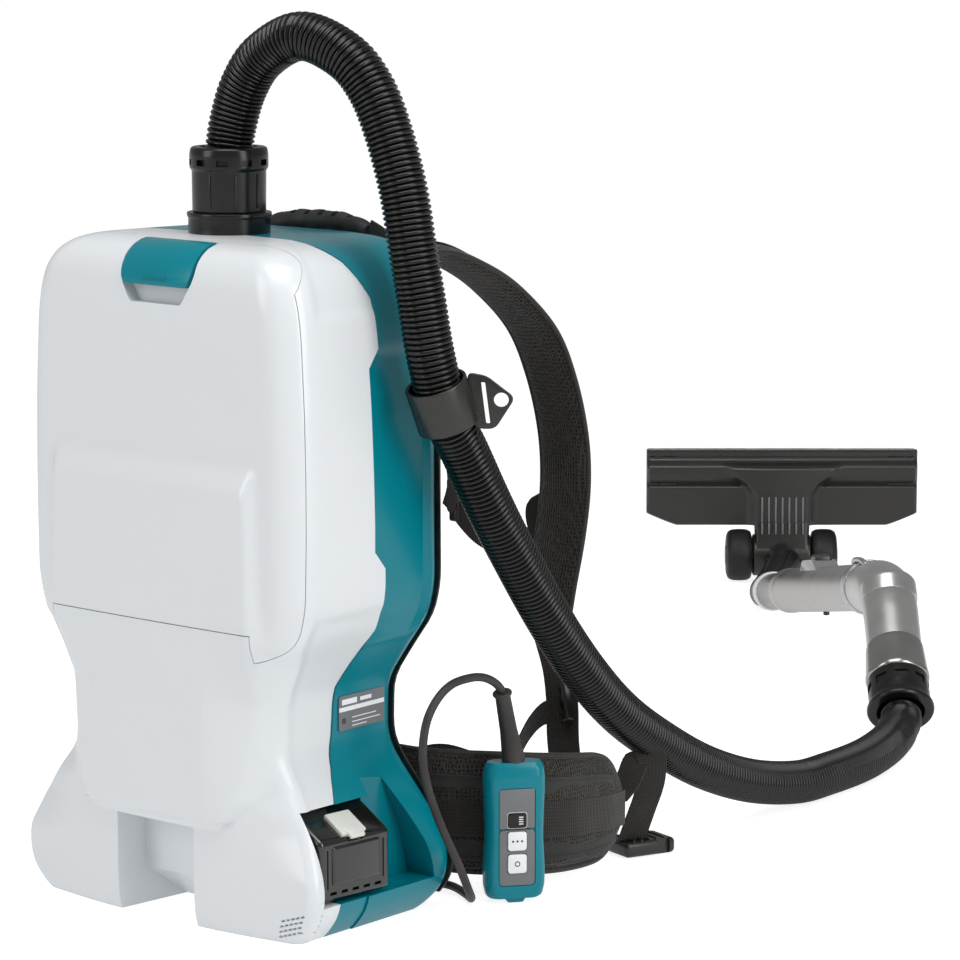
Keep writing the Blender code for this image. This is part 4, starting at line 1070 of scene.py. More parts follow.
# --- Batteries and label ---
def make_battery(side, sign):
    low, high = BATTERY
    outer, top = high[0], high[2]
    middle_y = (low[1] + high[1]) / 2
    battery = box(f"battery_{side}_case", low, high)
    slope = [(outer - 0.03, top + 0.001), (outer + 0.01, top + 0.001), (outer + 0.01, top - 0.024)]
    combine(battery, [prism("slope", slope, -0.1, 0.1, FRONT_VIEW)])
    bevel(battery, 0.0035, 5, 40)
    panel = box("end_panel", (outer - 0.004, low[1] + 0.012, low[2] + 0.012),
                (outer + 0.0016, high[1] - 0.012, top - 0.022), width=0.0022, segments=4)
    combine(battery, [panel], "UNION")
    cutters = []
    for i in range(5):
        y = middle_y - 0.024 + 0.012 * i
        cutters.append(box("slot", (outer - 0.003, y - 0.0035, low[2] + 0.0048),
                           (outer + 0.01, y + 0.0035, low[2] + 0.0072)))
    for y in (low[1] + 0.0075, high[1] - 0.0075):
        cutters.append(box("side_line", (outer - 0.0012, y - 0.0007, low[2] + 0.01),
                           (outer + 0.01, y + 0.0007, top - 0.024)))
    angle = atan2(0.025, 0.04)
    middle = Vector((outer - 0.012, middle_y, top - 0.0105))
    out = Vector((sin(angle), 0, cos(angle)))
    seat = axes_matrix(middle, (0, 1, 0), out)
    cutters.append(box("button_pocket", (-0.0136, -0.0121, -0.0055), (0.0136, 0.0121, 0.02), seat))
    lower_side = 1 if (seat @ Vector((0, 0.01, 0))).x > middle.x else -1
    ends = sorted((lower_side * 0.004, lower_side * 0.0165))
    # The cap's narrower tongue reaches forward over the edge of the case, in a slot of its own.
    cutters.append(box("tongue_slot", (-0.008, ends[0] - 0.001, -0.0024), (0.008, ends[1] + 0.001, 0.02),
                       seat))
    combine(battery, cutters)
    button = box(f"battery_button_{side}_cap", (-0.013, -0.0115, -0.0018), (0.013, 0.0115, 0.0032), seat,
                 0.0012, 4)
    tongue = box("tongue", (-0.0075, ends[0], 0.0006), (0.0075, ends[1], 0.0036), seat, 0.0009, 3)
    combine(button, [tongue], "UNION")
    for obj in (battery, button):
        obj.data.transform(Matrix.Diagonal((sign, 1, 1, 1)))
        face_out(obj)
    finish(battery, "gloss_black", f"battery_{side}", 30, body=f"{side}_battery")
    finish(button, "ivory", f"battery_button_{side}", 30, body=f"{side}_battery_button")


def make_label():
    low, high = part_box("rating_label")
    middle = (low + high) / 2
    run = Vector((low.x - high.x, high.y - low.y, 0.0)).normalized()
    seat = axes_matrix(middle, run, (0, 0, 1))
    outline = rounded([(-0.028, -0.0135), (0.028, -0.0135), (0.028, 0.0135), (-0.028, 0.0135)], 0.0016, 3)
    plate_frame = seat @ Matrix.Rotation(pi / 2, 4, "X")
    plate = prism("rating_plate", outline, -0.0004, 0.0005, plate_frame)
    finish(plate, "label", "rating_label", 30)
    for name, row, start, end, tall, material in (
        ("head", 0.0085, -0.0245, -0.006, 0.0042, "key"), ("number", 0.0085, -0.002, 0.012, 0.003, "key"),
        ("stripe", 0.003, -0.028, 0.028, 0.0034, "key"), ("rule_a", -0.0045, -0.012, 0.018, 0.0007, "key"),
        ("rule_b", -0.008, -0.012, 0.023, 0.0007, "key"), ("rule_c", -0.011, -0.012, 0.006, 0.0007, "key"),
        ("mark", -0.006, -0.0245, -0.02, 0.0044, "ink"),
    ):
        bar = box(f"rating_{name}", (start, row - tall / 2, 0.0004), (end, row + tall / 2, 0.0006),
                  plate_frame)
        finish(bar, material)


# --- Hose ---
HOSE_PITCH = 0.0042
HOSE_GROOVE = 0.0023


def make_hose():
    route = smooth_route(HOSE_ROUTE, HOSE_PITCH / 9)
    frames = frames_along(route)
    rows = []
    run = 0.0
    for k, (point, (_, a, b)) in enumerate(zip(route, frames)):
        if k:
            run += (point - route[k - 1]).length
        phase = run / HOSE_PITCH
        groove = 1 - abs(sin(pi * phase)) ** 0.75
        radius = HOSE_RADIUS - HOSE_GROOVE * groove
        rows.append([point + (a * cos(tau * i / 36) + b * sin(tau * i / 36)) * radius
                     for i in range(36)])
    hose = grid_solid("corrugated_hose", rows)
    finish(hose, "hose", "hose", 80)
    clip = make_hose_clip()


def make_hose_clip():
    route = smooth_route(HOSE_ROUTE, 0.0195)
    held = min(range(len(route)), key=lambda i: abs(route[i].z - 0.4045) + abs(route[i].y - 0.045))
    middle = route[held]
    along = (route[held + 1] - route[held - 1]).normalized()
    start = middle - along * 0.018
    profile = rounded([(0.0213, 0.0), (0.024, 0.0), (0.024, 0.036), (0.0213, 0.036)], 0.001, 3)
    clip = turned("hose_clip_band", profile, start, along, 72)
    toward = Vector((0.6756, -0.7373, 0.0))
    view = axes_matrix(middle, NOZZLE_SIDE, toward)
    outline = rounded([(0.019, 0.024), (0.0335, 0.0212), (0.055, 0.0045), (0.04, -0.019), (0.027, -0.019),
                       (0.019, -0.01)], 0.005, 6)
    tab = prism("clip_tab", outline, -0.0022, 0.0022, view, 0.0008, 3)
    frame_cut = rounded([(0.0292, 0.0165), (0.0322, 0.0165), (0.0362, -0.015), (0.0332, -0.015)], 0.0008, 2)
    cutters = [prism("clip_slot", frame_cut, -0.01, 0.01, view)]
    cutters.append(turned("clip_hole", [(0.0056, -0.01), (0.0056, 0.01)], view @ Vector((0.0445, 0.003, 0.0)),
                          toward,
                          48, closed=False))
    combine(tab, cutters)
    screw = turned("clip_boss", [(0.0042, -0.0035), (0.0042, 0.003), (0.0036, 0.0036)],
                   view @ Vector((0.0255, -0.0105, 0.0)), toward, 32, closed=False)
    combine(clip, [tab, screw], "UNION")
    return finish(clip, "satin_black", "hose_clip")


# --- Wand ---
def ring_cutters(origin, direction, count, radius, z_low, z_high, half):
    """Windows spaced evenly round an axis."""
    base = turned_to(origin, direction)
    found = []
    for i in range(count):
        turn = base @ Matrix.Rotation(tau * i / count, 4, "Z")
        found.append(box("window", (radius, -half, z_low), (radius + 0.02, half, z_high), turn))
    return found


def make_wand():
    cuff = turned("hose_end_collar", rounded([
        (0.0221, 0.0), (0.03, 0.0), (0.0312, 0.0022), (0.0312, 0.005), (0.0292, 0.0072), (0.0285, 0.011),
        (0.0285, 0.036), (0.0221, 0.036)], 0.0008), WAND_FOOT, RISE, 96)
    combine(cuff, ring_cutters(WAND_FOOT, RISE, 9, 0.0266, 0.0205, 0.029, 0.006))
    finish(cuff, "black", "hose_end_cuff", 40, body="hose_end")

    socket = turned("wand_socket_cone", rounded([
        (0.019, 0.0), (0.0288, 0.0), (0.0298, 0.003), (0.0296, 0.0065), (0.029, 0.008), (0.0272, 0.035),
        (0.0266, 0.0395), (0.019, 0.0395)], 0.001), WAND_FOOT + RISE * 0.0364, RISE, 96)
    finish(socket, "dark_metal", "wand_socket", 40)

    start = WAND_FOOT + RISE * 0.0766
    end = WAND_KNEE + REACH * 0.084
    before = WAND_KNEE - RISE * 0.044
    after = WAND_KNEE + REACH * 0.044
    route = [start.lerp(before, i / 8) for i in range(8)]
    route += [before * (1 - t) ** 2 + WAND_KNEE * 2 * t * (1 - t) + after * t**2
              for t in [i / 28 for i in range(29)]]
    route += [after.lerp(end, i / 8) for i in range(1, 9)]
    radii = [PIPE_RADIUS * (1.0 + 0.035 * exp(-((p - WAND_KNEE).length / 0.03) ** 2)) for p in route]
    pipe = tube("bent_pipe_skin", route, radii, 72)
    finish(pipe, "grey_metal", "bent_pipe", 50)
    # A lid closes the upright part of the bend.
    lid = turned("pipe_lid", rounded([
        (0.0, -0.018), (0.0262, -0.018), (0.0268, -0.015), (0.0262, 0.002), (0.0215, 0.0075), (0.0, 0.009)],
        0.003, 5), WAND_KNEE, (RISE + TUBE_UP * 0.35).normalized(), 96, closed=False)
    finish(lid, "grey_metal", angle=50)

    eye = [(0.046, 0.018), (0.048, 0.025), (0.058, 0.029), (0.076, 0.03), (0.092, 0.029), (0.099, 0.0255),
           (0.101, 0.018)]
    outward = (TUBE_UP - NOZZLE_SIDE * 0.5).normalized()
    loop = [WAND_KNEE + REACH * run + outward * rise for run, rise in eye]
    lug = tube("wand_eyelet", smooth_route(loop, 0.003), 0.0026, 20)
    finish(lug, "steel")
    ring = turned("wand_ring", rounded([
        (0.0195, 0.08), (0.0262, 0.08), (0.0268, 0.0812), (0.0268, 0.096), (0.0262, 0.0975), (0.0232, 0.0985),
        (0.0195, 0.0985)], 0.0006), WAND_KNEE, REACH, 96)
    combine(ring, ring_cutters(WAND_KNEE, REACH, 14, 0.0258, 0.087, 0.0888, 0.0009))
    finish(ring, "steel", angle=40)

    outer = turned("outer_tube_skin", rounded([
        (0.0194, 0.0955), (0.023, 0.0955), (0.023, 0.47), (0.0236, 0.472), (0.0236, 0.493), (0.0228, 0.495),
        (0.0194, 0.495)], 0.0008), WAND_KNEE, REACH, 96)
    seat = axes_matrix(WAND_KNEE + REACH * 0.33, REACH, TUBE_UP)
    hump = prism("bracket_hump", rounded([(-0.046, 0.018), (0.046, 0.018), (0.03, 0.03), (-0.022, 0.0305)],
                                         0.006, 5),
                 -0.0125, 0.0125, seat @ Matrix.Rotation(pi / 2, 4, "X"), 0.0025, 4)
    slot = box("bracket_slot", (-0.024, -0.0087, 0.0255), (0.024, 0.0087, 0.04), seat)
    combine(hump, [slot])
    finish(outer, "aluminium", "outer_tube", 40)
    finish(hump, "clear_grey", angle=40)
    pin = turned("tube_pin", rounded([(0.0, 0.02), (0.0032, 0.02), (0.0032, 0.0262), (0.0, 0.0268)], 0.0006),
                 WAND_KNEE + REACH * 0.3, -TUBE_UP, 24, closed=False)
    finish(pin, "satin_black", angle=40)
    button = box("tube_release_cap", (-0.0205, -0.008, 0.0258), (0.0065, 0.008, 0.0345), seat, 0.0018, 4)
    starts = [-0.0185 + 0.0042 * i for i in range(6)]
    ribs = [box("release_rib", (x, -0.007, 0.033), (x + 0.002, 0.007, 0.0353), seat, 0.0005, 2)
            for x in starts]
    combine(button, ribs, "UNION")
    finish(button, "satin_black", "tube_release", 40, body="tube_slider")

    inner_start = 0.2
    tip_run = (WAND_TIP - WAND_KNEE).length
    inner = turned("inner_tube_skin", rounded([
        (0.018, inner_start), (0.0192, inner_start), (0.0192, tip_run), (0.018, tip_run)], 0.0004), WAND_KNEE,
        REACH, 96)
    notches = []
    for i in range(9):
        notch = Matrix.Translation(REACH * (0.3 + 0.028 * i)) @ axes_matrix(WAND_KNEE, REACH, TUBE_UP)
        notches.append(box("tube_notch", (-0.0035, -0.004, 0.0186), (0.0035, 0.004, 0.024), notch))
    combine(inner, notches)
    finish(inner, "inner_aluminium", "inner_tube", 40, body="telescope")
    collar = turned("tube_collar_ring", rounded([
        (0.016, 0.0004), (0.0208, 0.0004), (0.0212, 0.002), (0.0212, 0.012), (0.0202, 0.015), (0.016, 0.015)],
        0.001), WAND_TIP, REACH, 96)
    finish(collar, "key", "tube_collar", 40, body="telescope")


# --- Floor nozzle ---
HEAD_LOW = 0.0335
HEAD_HIGH = 0.119
HEAD_HALF = 0.1515
HEAD_ROWS = 110


def head_bottom(x):
    """The lower edge of the head, with clipped outer corners."""
    across = abs(x)
    corner = max(0.0, (across - (HEAD_HALF - 0.034)) / 0.034)
    return HEAD_LOW + 0.0135 * corner ** 1.15


def head_relief(x, drop):
    """How far the front stands out at a distance below the top edge."""
    across = abs(x)
    strip = 0.0062 * ease(drop / 0.0015) * ease((0.008 - drop) / 0.0018)
    groove = 0.0035
    ridge = 0.0095 * ease((drop - 0.0085) / 0.011) * ease((0.042 - drop) / 0.016)
    lower = 0.005 * ease((drop - 0.036) / 0.006) * (1 - 0.45 * max(0.0, drop - 0.042) / 0.045)
    plate = max(strip, groove) + ridge * 0.85 if drop > 0.008 else max(strip, groove)
    plate = max(plate, groove + lower)
    half = 0.0315 + 0.031 * ease((0.052 - drop) / 0.04)
    neck = ease((half + 0.0085 - across) / 0.013) * ease((drop - 0.0135) / 0.008)
    return plate * (1 - neck) + (0.0172 - 0.002 * (across / 0.06) ** 2) * neck


def make_head():
    view = axes_matrix(NOZZLE, NOZZLE_SIDE, -NOZZLE_AWAY)
    xs = [-HEAD_HALF + HEAD_HALF * 2 * i / 200 for i in range(201)]
    rows = []
    for x in xs:
        low = head_bottom(x)
        end = ease((HEAD_HALF - abs(x)) / 0.003)
        ring = []
        for i in range(HEAD_ROWS + 1):
            y = low + (HEAD_HIGH - low) * i / HEAD_ROWS
            height = head_relief(x, HEAD_HIGH - y) * (0.55 + 0.45 * end)
            edge = ease((y - low) / 0.002)
            ring.append(view @ Vector((x, y, -0.006 + (height + 0.006) * (0.35 + 0.65 * edge))))
        ring.append(view @ Vector((x, HEAD_HIGH - 0.0006, -0.0118)))
        ring.append(view @ Vector((x, low + 0.0006, -0.0118)))
        rows.append(ring)
    shell = grid_solid("nozzle_head_shell", rows)
    finish(shell, "satin_black", "nozzle_shell", 42, body="floor_head")
    outline = [
        (-HEAD_HALF, HEAD_HIGH), (-HEAD_HALF, HEAD_LOW + 0.012), (-HEAD_HALF + 0.034, HEAD_LOW),
        (-0.045, HEAD_LOW),
        (-0.038, HEAD_LOW + 0.01), (0.038, HEAD_LOW + 0.01), (0.045, HEAD_LOW),
        (HEAD_HALF - 0.034, HEAD_LOW), (HEAD_HALF, HEAD_LOW + 0.012), (HEAD_HALF, HEAD_HIGH),
    ]
    sole = prism("nozzle_sole_plate", rounded(outline, 0.004, 4), -0.0165, -0.0122, view, 0.0006, 2)
    mouth = box("suction_mouth", (-0.13, 0.066, -0.02), (0.13, 0.084, -0.01), view)
    combine(sole, [mouth])
    finish(sole, "sole", "nozzle_sole", body="floor_head")
    brush_base = box("brush_base", (-0.14, 0.089, -0.019), (0.14, 0.1, -0.0166), view, 0.0006, 2)
    finish(brush_base, "satin_black", body="floor_head")
    make_bristles(view)


def add_spindle(verts, faces, rings):
    """A short thread or tuft: a skin over a few small rings of one size, closed at both ends."""
    base = len(verts)
    sides = len(rings[0])
    for ring in rings:
        verts.extend(ring)
    for level in range(0, sides * (len(rings) - 1), sides):
        for k in range(sides):
            n = (k + 1) % sides
            faces.append((base + level + k, base + level + n, base + level + n + sides,
                          base + level + k + sides))
    faces.append(tuple(base + k for k in reversed(range(sides))))
    faces.append(tuple(base + sides * (len(rings) - 1) + k for k in range(sides)))


TUFTS = 92
TUFT_PITCH = 0.003


def make_bristles(view):
    """Tufts in two staggered rows along the sole."""
    rng = np.random.default_rng(7)
    verts = []
    faces = []
    for row, y in enumerate((0.0925, 0.0965)):
        for i in range(TUFTS):
            x = -0.1375 + TUFT_PITCH * (i + row / 2)
            lean = rng.normal(0, 0.0006, 2)
            rings = []
            for z, radius, share in ((-0.017, 0.001, 0.0), (-0.024, 0.0013, 0.5), (-0.0288, 0.0011, 1.0)):
                turns = [tau * k / 6 for k in range(6)]
                rings.append([view @ Vector((x + radius * cos(a) + lean[0] * share,
                                             y + radius * sin(a) + lean[1] * share, z)) for a in turns])
            add_spindle(verts, faces, rings)
    brush = object_of("brush_tufts", verts, faces)
    finish(brush, "bristle", "brush_strip", 60, body="floor_head")


def make_nozzle():
    make_head()
    seat = axes_matrix(NOZZLE, NOZZLE_SIDE, (0, 0, 1))
    neck = turned("nozzle_neck_body", rounded([(0.0, -0.0325), (0.0235, -0.0325), (0.0235, 0.0325),
                                               (0.0, 0.0325)],
                                              0.003, 4), NOZZLE, NOZZLE_SIDE, 72, closed=False)
    rings = []
    for z, half, front, back in ((-0.004, 0.0305, -0.0205, 0.008), (0.01, 0.0305, -0.0212, 0.0085),
                                 (0.024, 0.03, -0.02, 0.009), (0.036, 0.0308, -0.0182, 0.0095),
                                 (0.04, 0.0312, -0.0178, 0.0095)):
        outline = rounded([(-half, front), (half, front), (half, back), (-half, back)], 0.0055, 5)
        rings.append([seat @ Vector((x, y, z)) for x, y in outline])
    combine(neck, [grid_solid("neck_throat", rings)], "UNION")
    finish(neck, "satin_black", "nozzle_neck", body="floor_head")
    for i in range(7):
        x = -0.0228 + 0.0076 * i
        for name, near, far, low, high in (("neck", -0.0222, -0.015, 0.0262, 0.0392),
                                           ("head", -0.0186, -0.012, 0.0392, 0.068)):
            rib = box(f"{name}_rib_{i}", (x - 0.001, near, low), (x + 0.001, far, high), seat, 0.0006, 2)
            finish(rib, "grey", body="floor_head")
    for side, sign in (("left", -1), ("right", 1)):
        profile = [(0.0, 0.0335), (0.0225, 0.0335), (0.0262, 0.0345), (0.0284, 0.0385), (0.029, 0.044),
                   (0.029, 0.05), (0.0284, 0.056), (0.0262, 0.06), (0.0215, 0.0618), (0.0, 0.0622)]
        direction = NOZZLE_SIDE * sign
        wheel = turned(f"wheel_{side}_tyre", rounded(profile, 0.0015, 3), NOZZLE, direction, 96, closed=False)
        finish(wheel, "tyre", f"wheel_{side}", 40, body=f"{side}_wheel")
        cap = turned(f"wheel_{side}_cap",
                     rounded([(0.0, 0.06), (0.011, 0.06), (0.011, 0.0629), (0.0, 0.0629)],
                                                  0.0006, 2), NOZZLE, direction, 48, closed=False)
        finish(cap, "satin_black", body=f"{side}_wheel")
    make_elbow()


def make_elbow():
    elbow_start = WAND_TIP + REACH * 0.0163
    joint_face = NOZZLE - NOZZLE_AWAY * 0.024
    turn = joint_face - NOZZLE_AWAY * 0.04
    knee = elbow_start + REACH * 0.03
    radius = 0.0178
    elbow = turned("nozzle_elbow_body", [(radius + 0.0014, 0.0), (radius, 0.004),
                                         (radius, (knee - elbow_start).length)],
                   elbow_start, REACH, 56, closed=False)
    parts = [turned("elbow_middle", [(radius - 0.0002, 0.0), (radius - 0.0002, (turn - knee).length)], knee,
                    turn - knee,
                    56, closed=False)]
    parts.append(turned("elbow_end", [(radius - 0.0004, 0.0), (radius - 0.0004, 0.0394)], turn, NOZZLE_AWAY,
                        56,
                        closed=False))
    for name, middle in (("knee", knee), ("turn", turn)):
        arc = [radians(-88 + 8 * step) for step in range(23)]
        ball = [((radius + 0.0002) * cos(angle), (radius + 0.0002) * sin(angle)) for angle in arc]
        parts.append(turned(f"elbow_{name}", ball, middle, REACH, 56, closed=False))
    combine(elbow, parts, "UNION")
    seat = axes_matrix(joint_face, NOZZLE_SIDE, NOZZLE_AWAY)
    yoke = box("elbow_block", (-0.0205, -0.002, -0.024), (0.0205, 0.0205, -0.0006), seat, 0.0035, 5)
    combine(elbow, [yoke], "UNION")
    finish(elbow, "black", "nozzle_elbow", 40, body="elbow")


# --- Remote control ---
def remote_section(z):
    """Half depth and half width of the remote's case at a height along it."""
    heights = [-0.054, -0.052, -0.044, -0.03, -0.006, 0.014, 0.03, 0.042, 0.05, 0.054]
    depths = [0.009, 0.0108, 0.0118, 0.012, 0.012, 0.012, 0.012, 0.0118, 0.0108, 0.0088]
    widths = [0.02, 0.0222, 0.0238, 0.0241, 0.0228, 0.0232, 0.024, 0.0241, 0.0232, 0.0212]
    return np.interp(z, heights, depths), np.interp(z, heights, widths)


def make_remote():
    view = axes_matrix(REMOTE, REMOTE_OUT, (0, 0, 1))
    rings = []
    for step in range(73):
        z = -0.054 + 0.108 * step / 72
        depth, width = remote_section(z)
        facet = 0.0052
        outline = rounded([
            (-depth, -width + 0.006), (-depth + 0.006, -width), (depth - facet, -width),
            (depth, -width + facet),
            (depth, width - facet), (depth - facet, width), (-depth + 0.006, width), (-depth, width - 0.006),
        ], 0.0028, 3)
        rings.append([view @ Vector((x, y, z)) for x, y in outline])
    case = grid_solid("remote_case_body", rings)
    face = REMOTE_SIZE[0] / 2
    front = view @ SIDE_VIEW
    recess = rounded([(-0.0148, -0.0434), (0.0148, -0.0434), (0.0148, 0.0344), (-0.0148, 0.0344)], 0.004, 5)
    well = [(-0.0105, -0.036), (0.0105, -0.036), (0.0105, 0.018), (-0.0105, 0.018)]
    combine(case, [prism("remote_recess", recess, face - 0.0015, 0.03, front),
                   prism("remote_well", well, face - 0.0045, 0.03, front)])
    foot = prism("remote_foot", rounded([(-0.006, -0.0575), (0.006, -0.0575), (0.0095, -0.052),
                                         (-0.0095, -0.052)],
                                        0.0012, 3), -0.006, 0.007, front, 0.0006, 2)
    combine(case, [foot], "UNION")
    finish(case, "teal", "remote_case", 32)

    # The grey panel is in two parts, with a line of the case between them.
    upper = rounded([(-0.0142, 0.0023), (0.0142, 0.0023), (0.0142, 0.0338), (-0.0142, 0.0338)], 0.002, 4)
    lower = rounded([(-0.0142, -0.0428), (0.0142, -0.0428), (0.0142, 0.0013), (-0.0142, 0.0013)], 0.0035, 4)
    for name, outline, windows in (("upper", upper, [(0.003, 0.015)]),
                                   ("lower", lower, [(-0.015, 0.0), (-0.033, -0.018)])):
        panel = prism(f"remote_panel_{name}", outline, face - 0.0012, face - 0.0001, front, 0.0002, 2)
        cutters = []
        for low, high in windows:
            corners = [(-0.008, low - 0.0005), (0.008, low - 0.0005), (0.008, high + 0.0005),
                       (-0.008, high + 0.0005)]
            cutters.append(prism("window", rounded(corners, 0.0026, 4), 0.0, 0.03, front))
        combine(panel, cutters)
        finish(panel, "grey", "remote_panel" if name == "upper" else (), 32)
    rim = [(-0.008, 0.0025), (0.008, 0.0025), (0.008, 0.0155), (-0.008, 0.0155)]
    line = prism("light_button_outline", rounded(rim, 0.0026, 4), face - 0.0006, face + 0.0001, front)
    inner_rim = [(-0.0076, 0.0029), (0.0076, 0.0029), (0.0076, 0.0151), (-0.0076, 0.0151)]
    combine(line, [prism("rim_inside", rounded(inner_rim, 0.0024, 4), 0.0, 0.03, front)])
    finish(line, "key")
    for name, low, high, key, material in (
        ("light_button", 0.003, 0.015, "light_key", "black"),
        ("power_button", -0.015, 0.0, "power_key", "key"),
        ("stop_button", -0.033, -0.018, "stop_key", "key"),
    ):
        corners = [(-0.0075, low), (0.0075, low), (0.0075, high), (-0.0075, high)]
        cap = prism(name + "_cap", rounded(corners, 0.0026, 5), face - 0.003, face + 0.0012, front, 0.0005, 3)
        finish(cap, material, name, 32, body=key)
        make_key_mark(name, key, (low + high) / 2, face + 0.00115, front)
    make_cable(view)


def make_key_mark(name, key, middle, face, front):
    """Plain printed marks: three dots, a ring or four short bars."""
    marks = []
    if name == "power_button":
        for i in range(3):
            spot = front @ Vector((-0.0036 + 0.0036 * i, middle, face - 0.0002))
            marks.append(turned(f"{name}_dot_{i}", [(0.0009, 0.0), (0.0009, 0.0003)], spot, REMOTE_OUT, 24,
                                False))
    elif name == "stop_button":
        spot = front @ Vector((0.0, middle, face - 0.0002))
        marks.append(turned(f"{name}_ring",
                            [(0.0014, 0.0), (0.0022, 0.0), (0.0022, 0.0003), (0.0014, 0.0003)], spot,
                            REMOTE_OUT, 32))
    else:
        for i in range(4):
            row = middle - 0.0027 + 0.0018 * i
            marks.append(prism(f"{name}_bar_{i}",
                               [(0.0012, row - 0.0004), (0.0046, row - 0.0004), (0.0046, row + 0.0004),
                                                   (0.0012, row + 0.0004)], face - 0.0002, face + 0.0001,
                                                   front))
    for mark in marks:
        finish(mark, "key" if name == "light_button" else "ink", body=key)


def make_cable(view):
    case_top = REMOTE + Vector((0, 0, REMOTE_SIZE[2] / 2 + 0.001))
    tip = Vector(CABLE_ROUTE[0])
    along = (tip - case_top).normalized()
    reach = (tip - case_top).length
    profile = [(0.0094, -0.0006), (0.0092, 0.002), (0.008, 0.012), (0.0068, 0.026), (0.006, reach - 0.006),
               (0.0062, reach - 0.0034), (0.0075, reach - 0.003), (0.0077, reach - 0.0012),
               (0.007, reach - 0.0004),
               (0.0034, reach - 0.0004), (0.0034, -0.0006)]
    relief = turned("strain_relief", rounded(profile, 0.0007, 2), case_top, along, 56)
    finish(relief, "soft_rubber", "remote_strain_relief", 45)
    points = [case_top.lerp(tip, i / 6) for i in range(6)] + [Vector(p) for p in CABLE_ROUTE]
    route = smooth_route(points, 0.0035)
    cable = tube("remote_cable_skin", route, CABLE_RADIUS, 28)
    finish(cable, "soft_rubber", "remote_cable", 80)
    gland = turned("cable_gland_boss", rounded([(0.0, -0.001), (0.0042, -0.001), (0.0046, 0.006),
                                                (0.0064, 0.0105),
                                                (0.0066, 0.0128), (0.0, 0.0128)], 0.0005, 2),
                   (0.0786, 0.1014, 0.0114), Vector((-0.0026, -0.0112, 0.0056)), 40, closed=False)
    finish(gland, "rubber", "cable_gland", 45)
    route = list(reversed(route))
    clip = box("remote_belt_clip", (-0.016, -0.011, -0.01), (-0.0124, 0.011, 0.046), view, 0.0012, 3)
    finish(clip, "satin_black", "remote_clip")


# --- Harness ---
CLOTH_FRAMES = 20


def puffed(obj, limit):
    """Fabric filled like padding: a cloth simulation under pressure, with its travel capped at limit."""
    before = np.array([v.co for v in obj.data.vertices])
    cloth = obj.modifiers.new("padding", "CLOTH")
    cloth.settings.quality = 6
    cloth.settings.mass = 0.25
    cloth.settings.tension_stiffness = 20
    cloth.settings.compression_stiffness = 20
    cloth.settings.bending_stiffness = 0.6
    cloth.settings.use_pressure = True
    cloth.settings.uniform_pressure_force = 4.0
    cloth.settings.effector_weights.gravity = 0.0
    cloth.point_cache.frame_start = 1
    cloth.point_cache.frame_end = CLOTH_FRAMES
    scene = bpy.context.scene
    for number in range(1, CLOTH_FRAMES + 1):
        scene.frame_set(number)
    apply_modifiers(obj)
    scene.frame_set(1)
    after = np.array([v.co for v in obj.data.vertices])
    moved = after - before
    size = np.linalg.norm(moved, axis=1, keepdims=True)
    moved *= np.minimum(1.0, limit / np.maximum(size, 1e-9))
    obj.data.vertices.foreach_set("co", (before + moved).astype(np.float32).ravel())
    return subdivide(obj)


def pad_section(half, thickness, crease=None, points=15):
    """A padded strap: full in the middle and thin at the bound edges, with a sewn line."""
    across = [half * sin(pi * (i / (points - 1) - 0.5)) for i in range(points)]
    lower = []
    for a in across:
        full = thickness / 2 * (1 - abs(a / half) ** 3.2) + 0.0008
        if crease is not None:
            full -= 0.0016 * exp(-((a - crease) / 0.0016) ** 2)
        lower.append((a, -full))
    upper = [(a, -b) for a, b in reversed(lower)]
    return lower + upper


def edge_line(points, across, offset):
    return [point + side.normalized() * offset for point, side in zip(points, across)]


STITCH_PITCH = 0.0045
STITCH_LENGTH = 0.0028
STITCH_RADIUS = 0.00032


def stitches(name, points):
    """A row of short thread stitches along a line, as one piece."""
    line = smooth_route(points, STITCH_PITCH)
    verts = []
    faces = []
    for start, end in zip(line, line[1:]):
        matrix = turned_to(start, end - start)
        rings = []
        for share, thickness in ((0.0, 0.4), (0.3, 1.0), (0.7, 1.0), (1.0, 0.4)):
            r = STITCH_RADIUS * thickness
            z = STITCH_LENGTH * share
            turns = [tau * k / 5 for k in range(5)]
            rings.append([matrix @ Vector((r * cos(turn), r * sin(turn), z)) for turn in turns])
        add_spindle(verts, faces, rings)
    finish(object_of(name, verts, faces), "piping", angle=60)


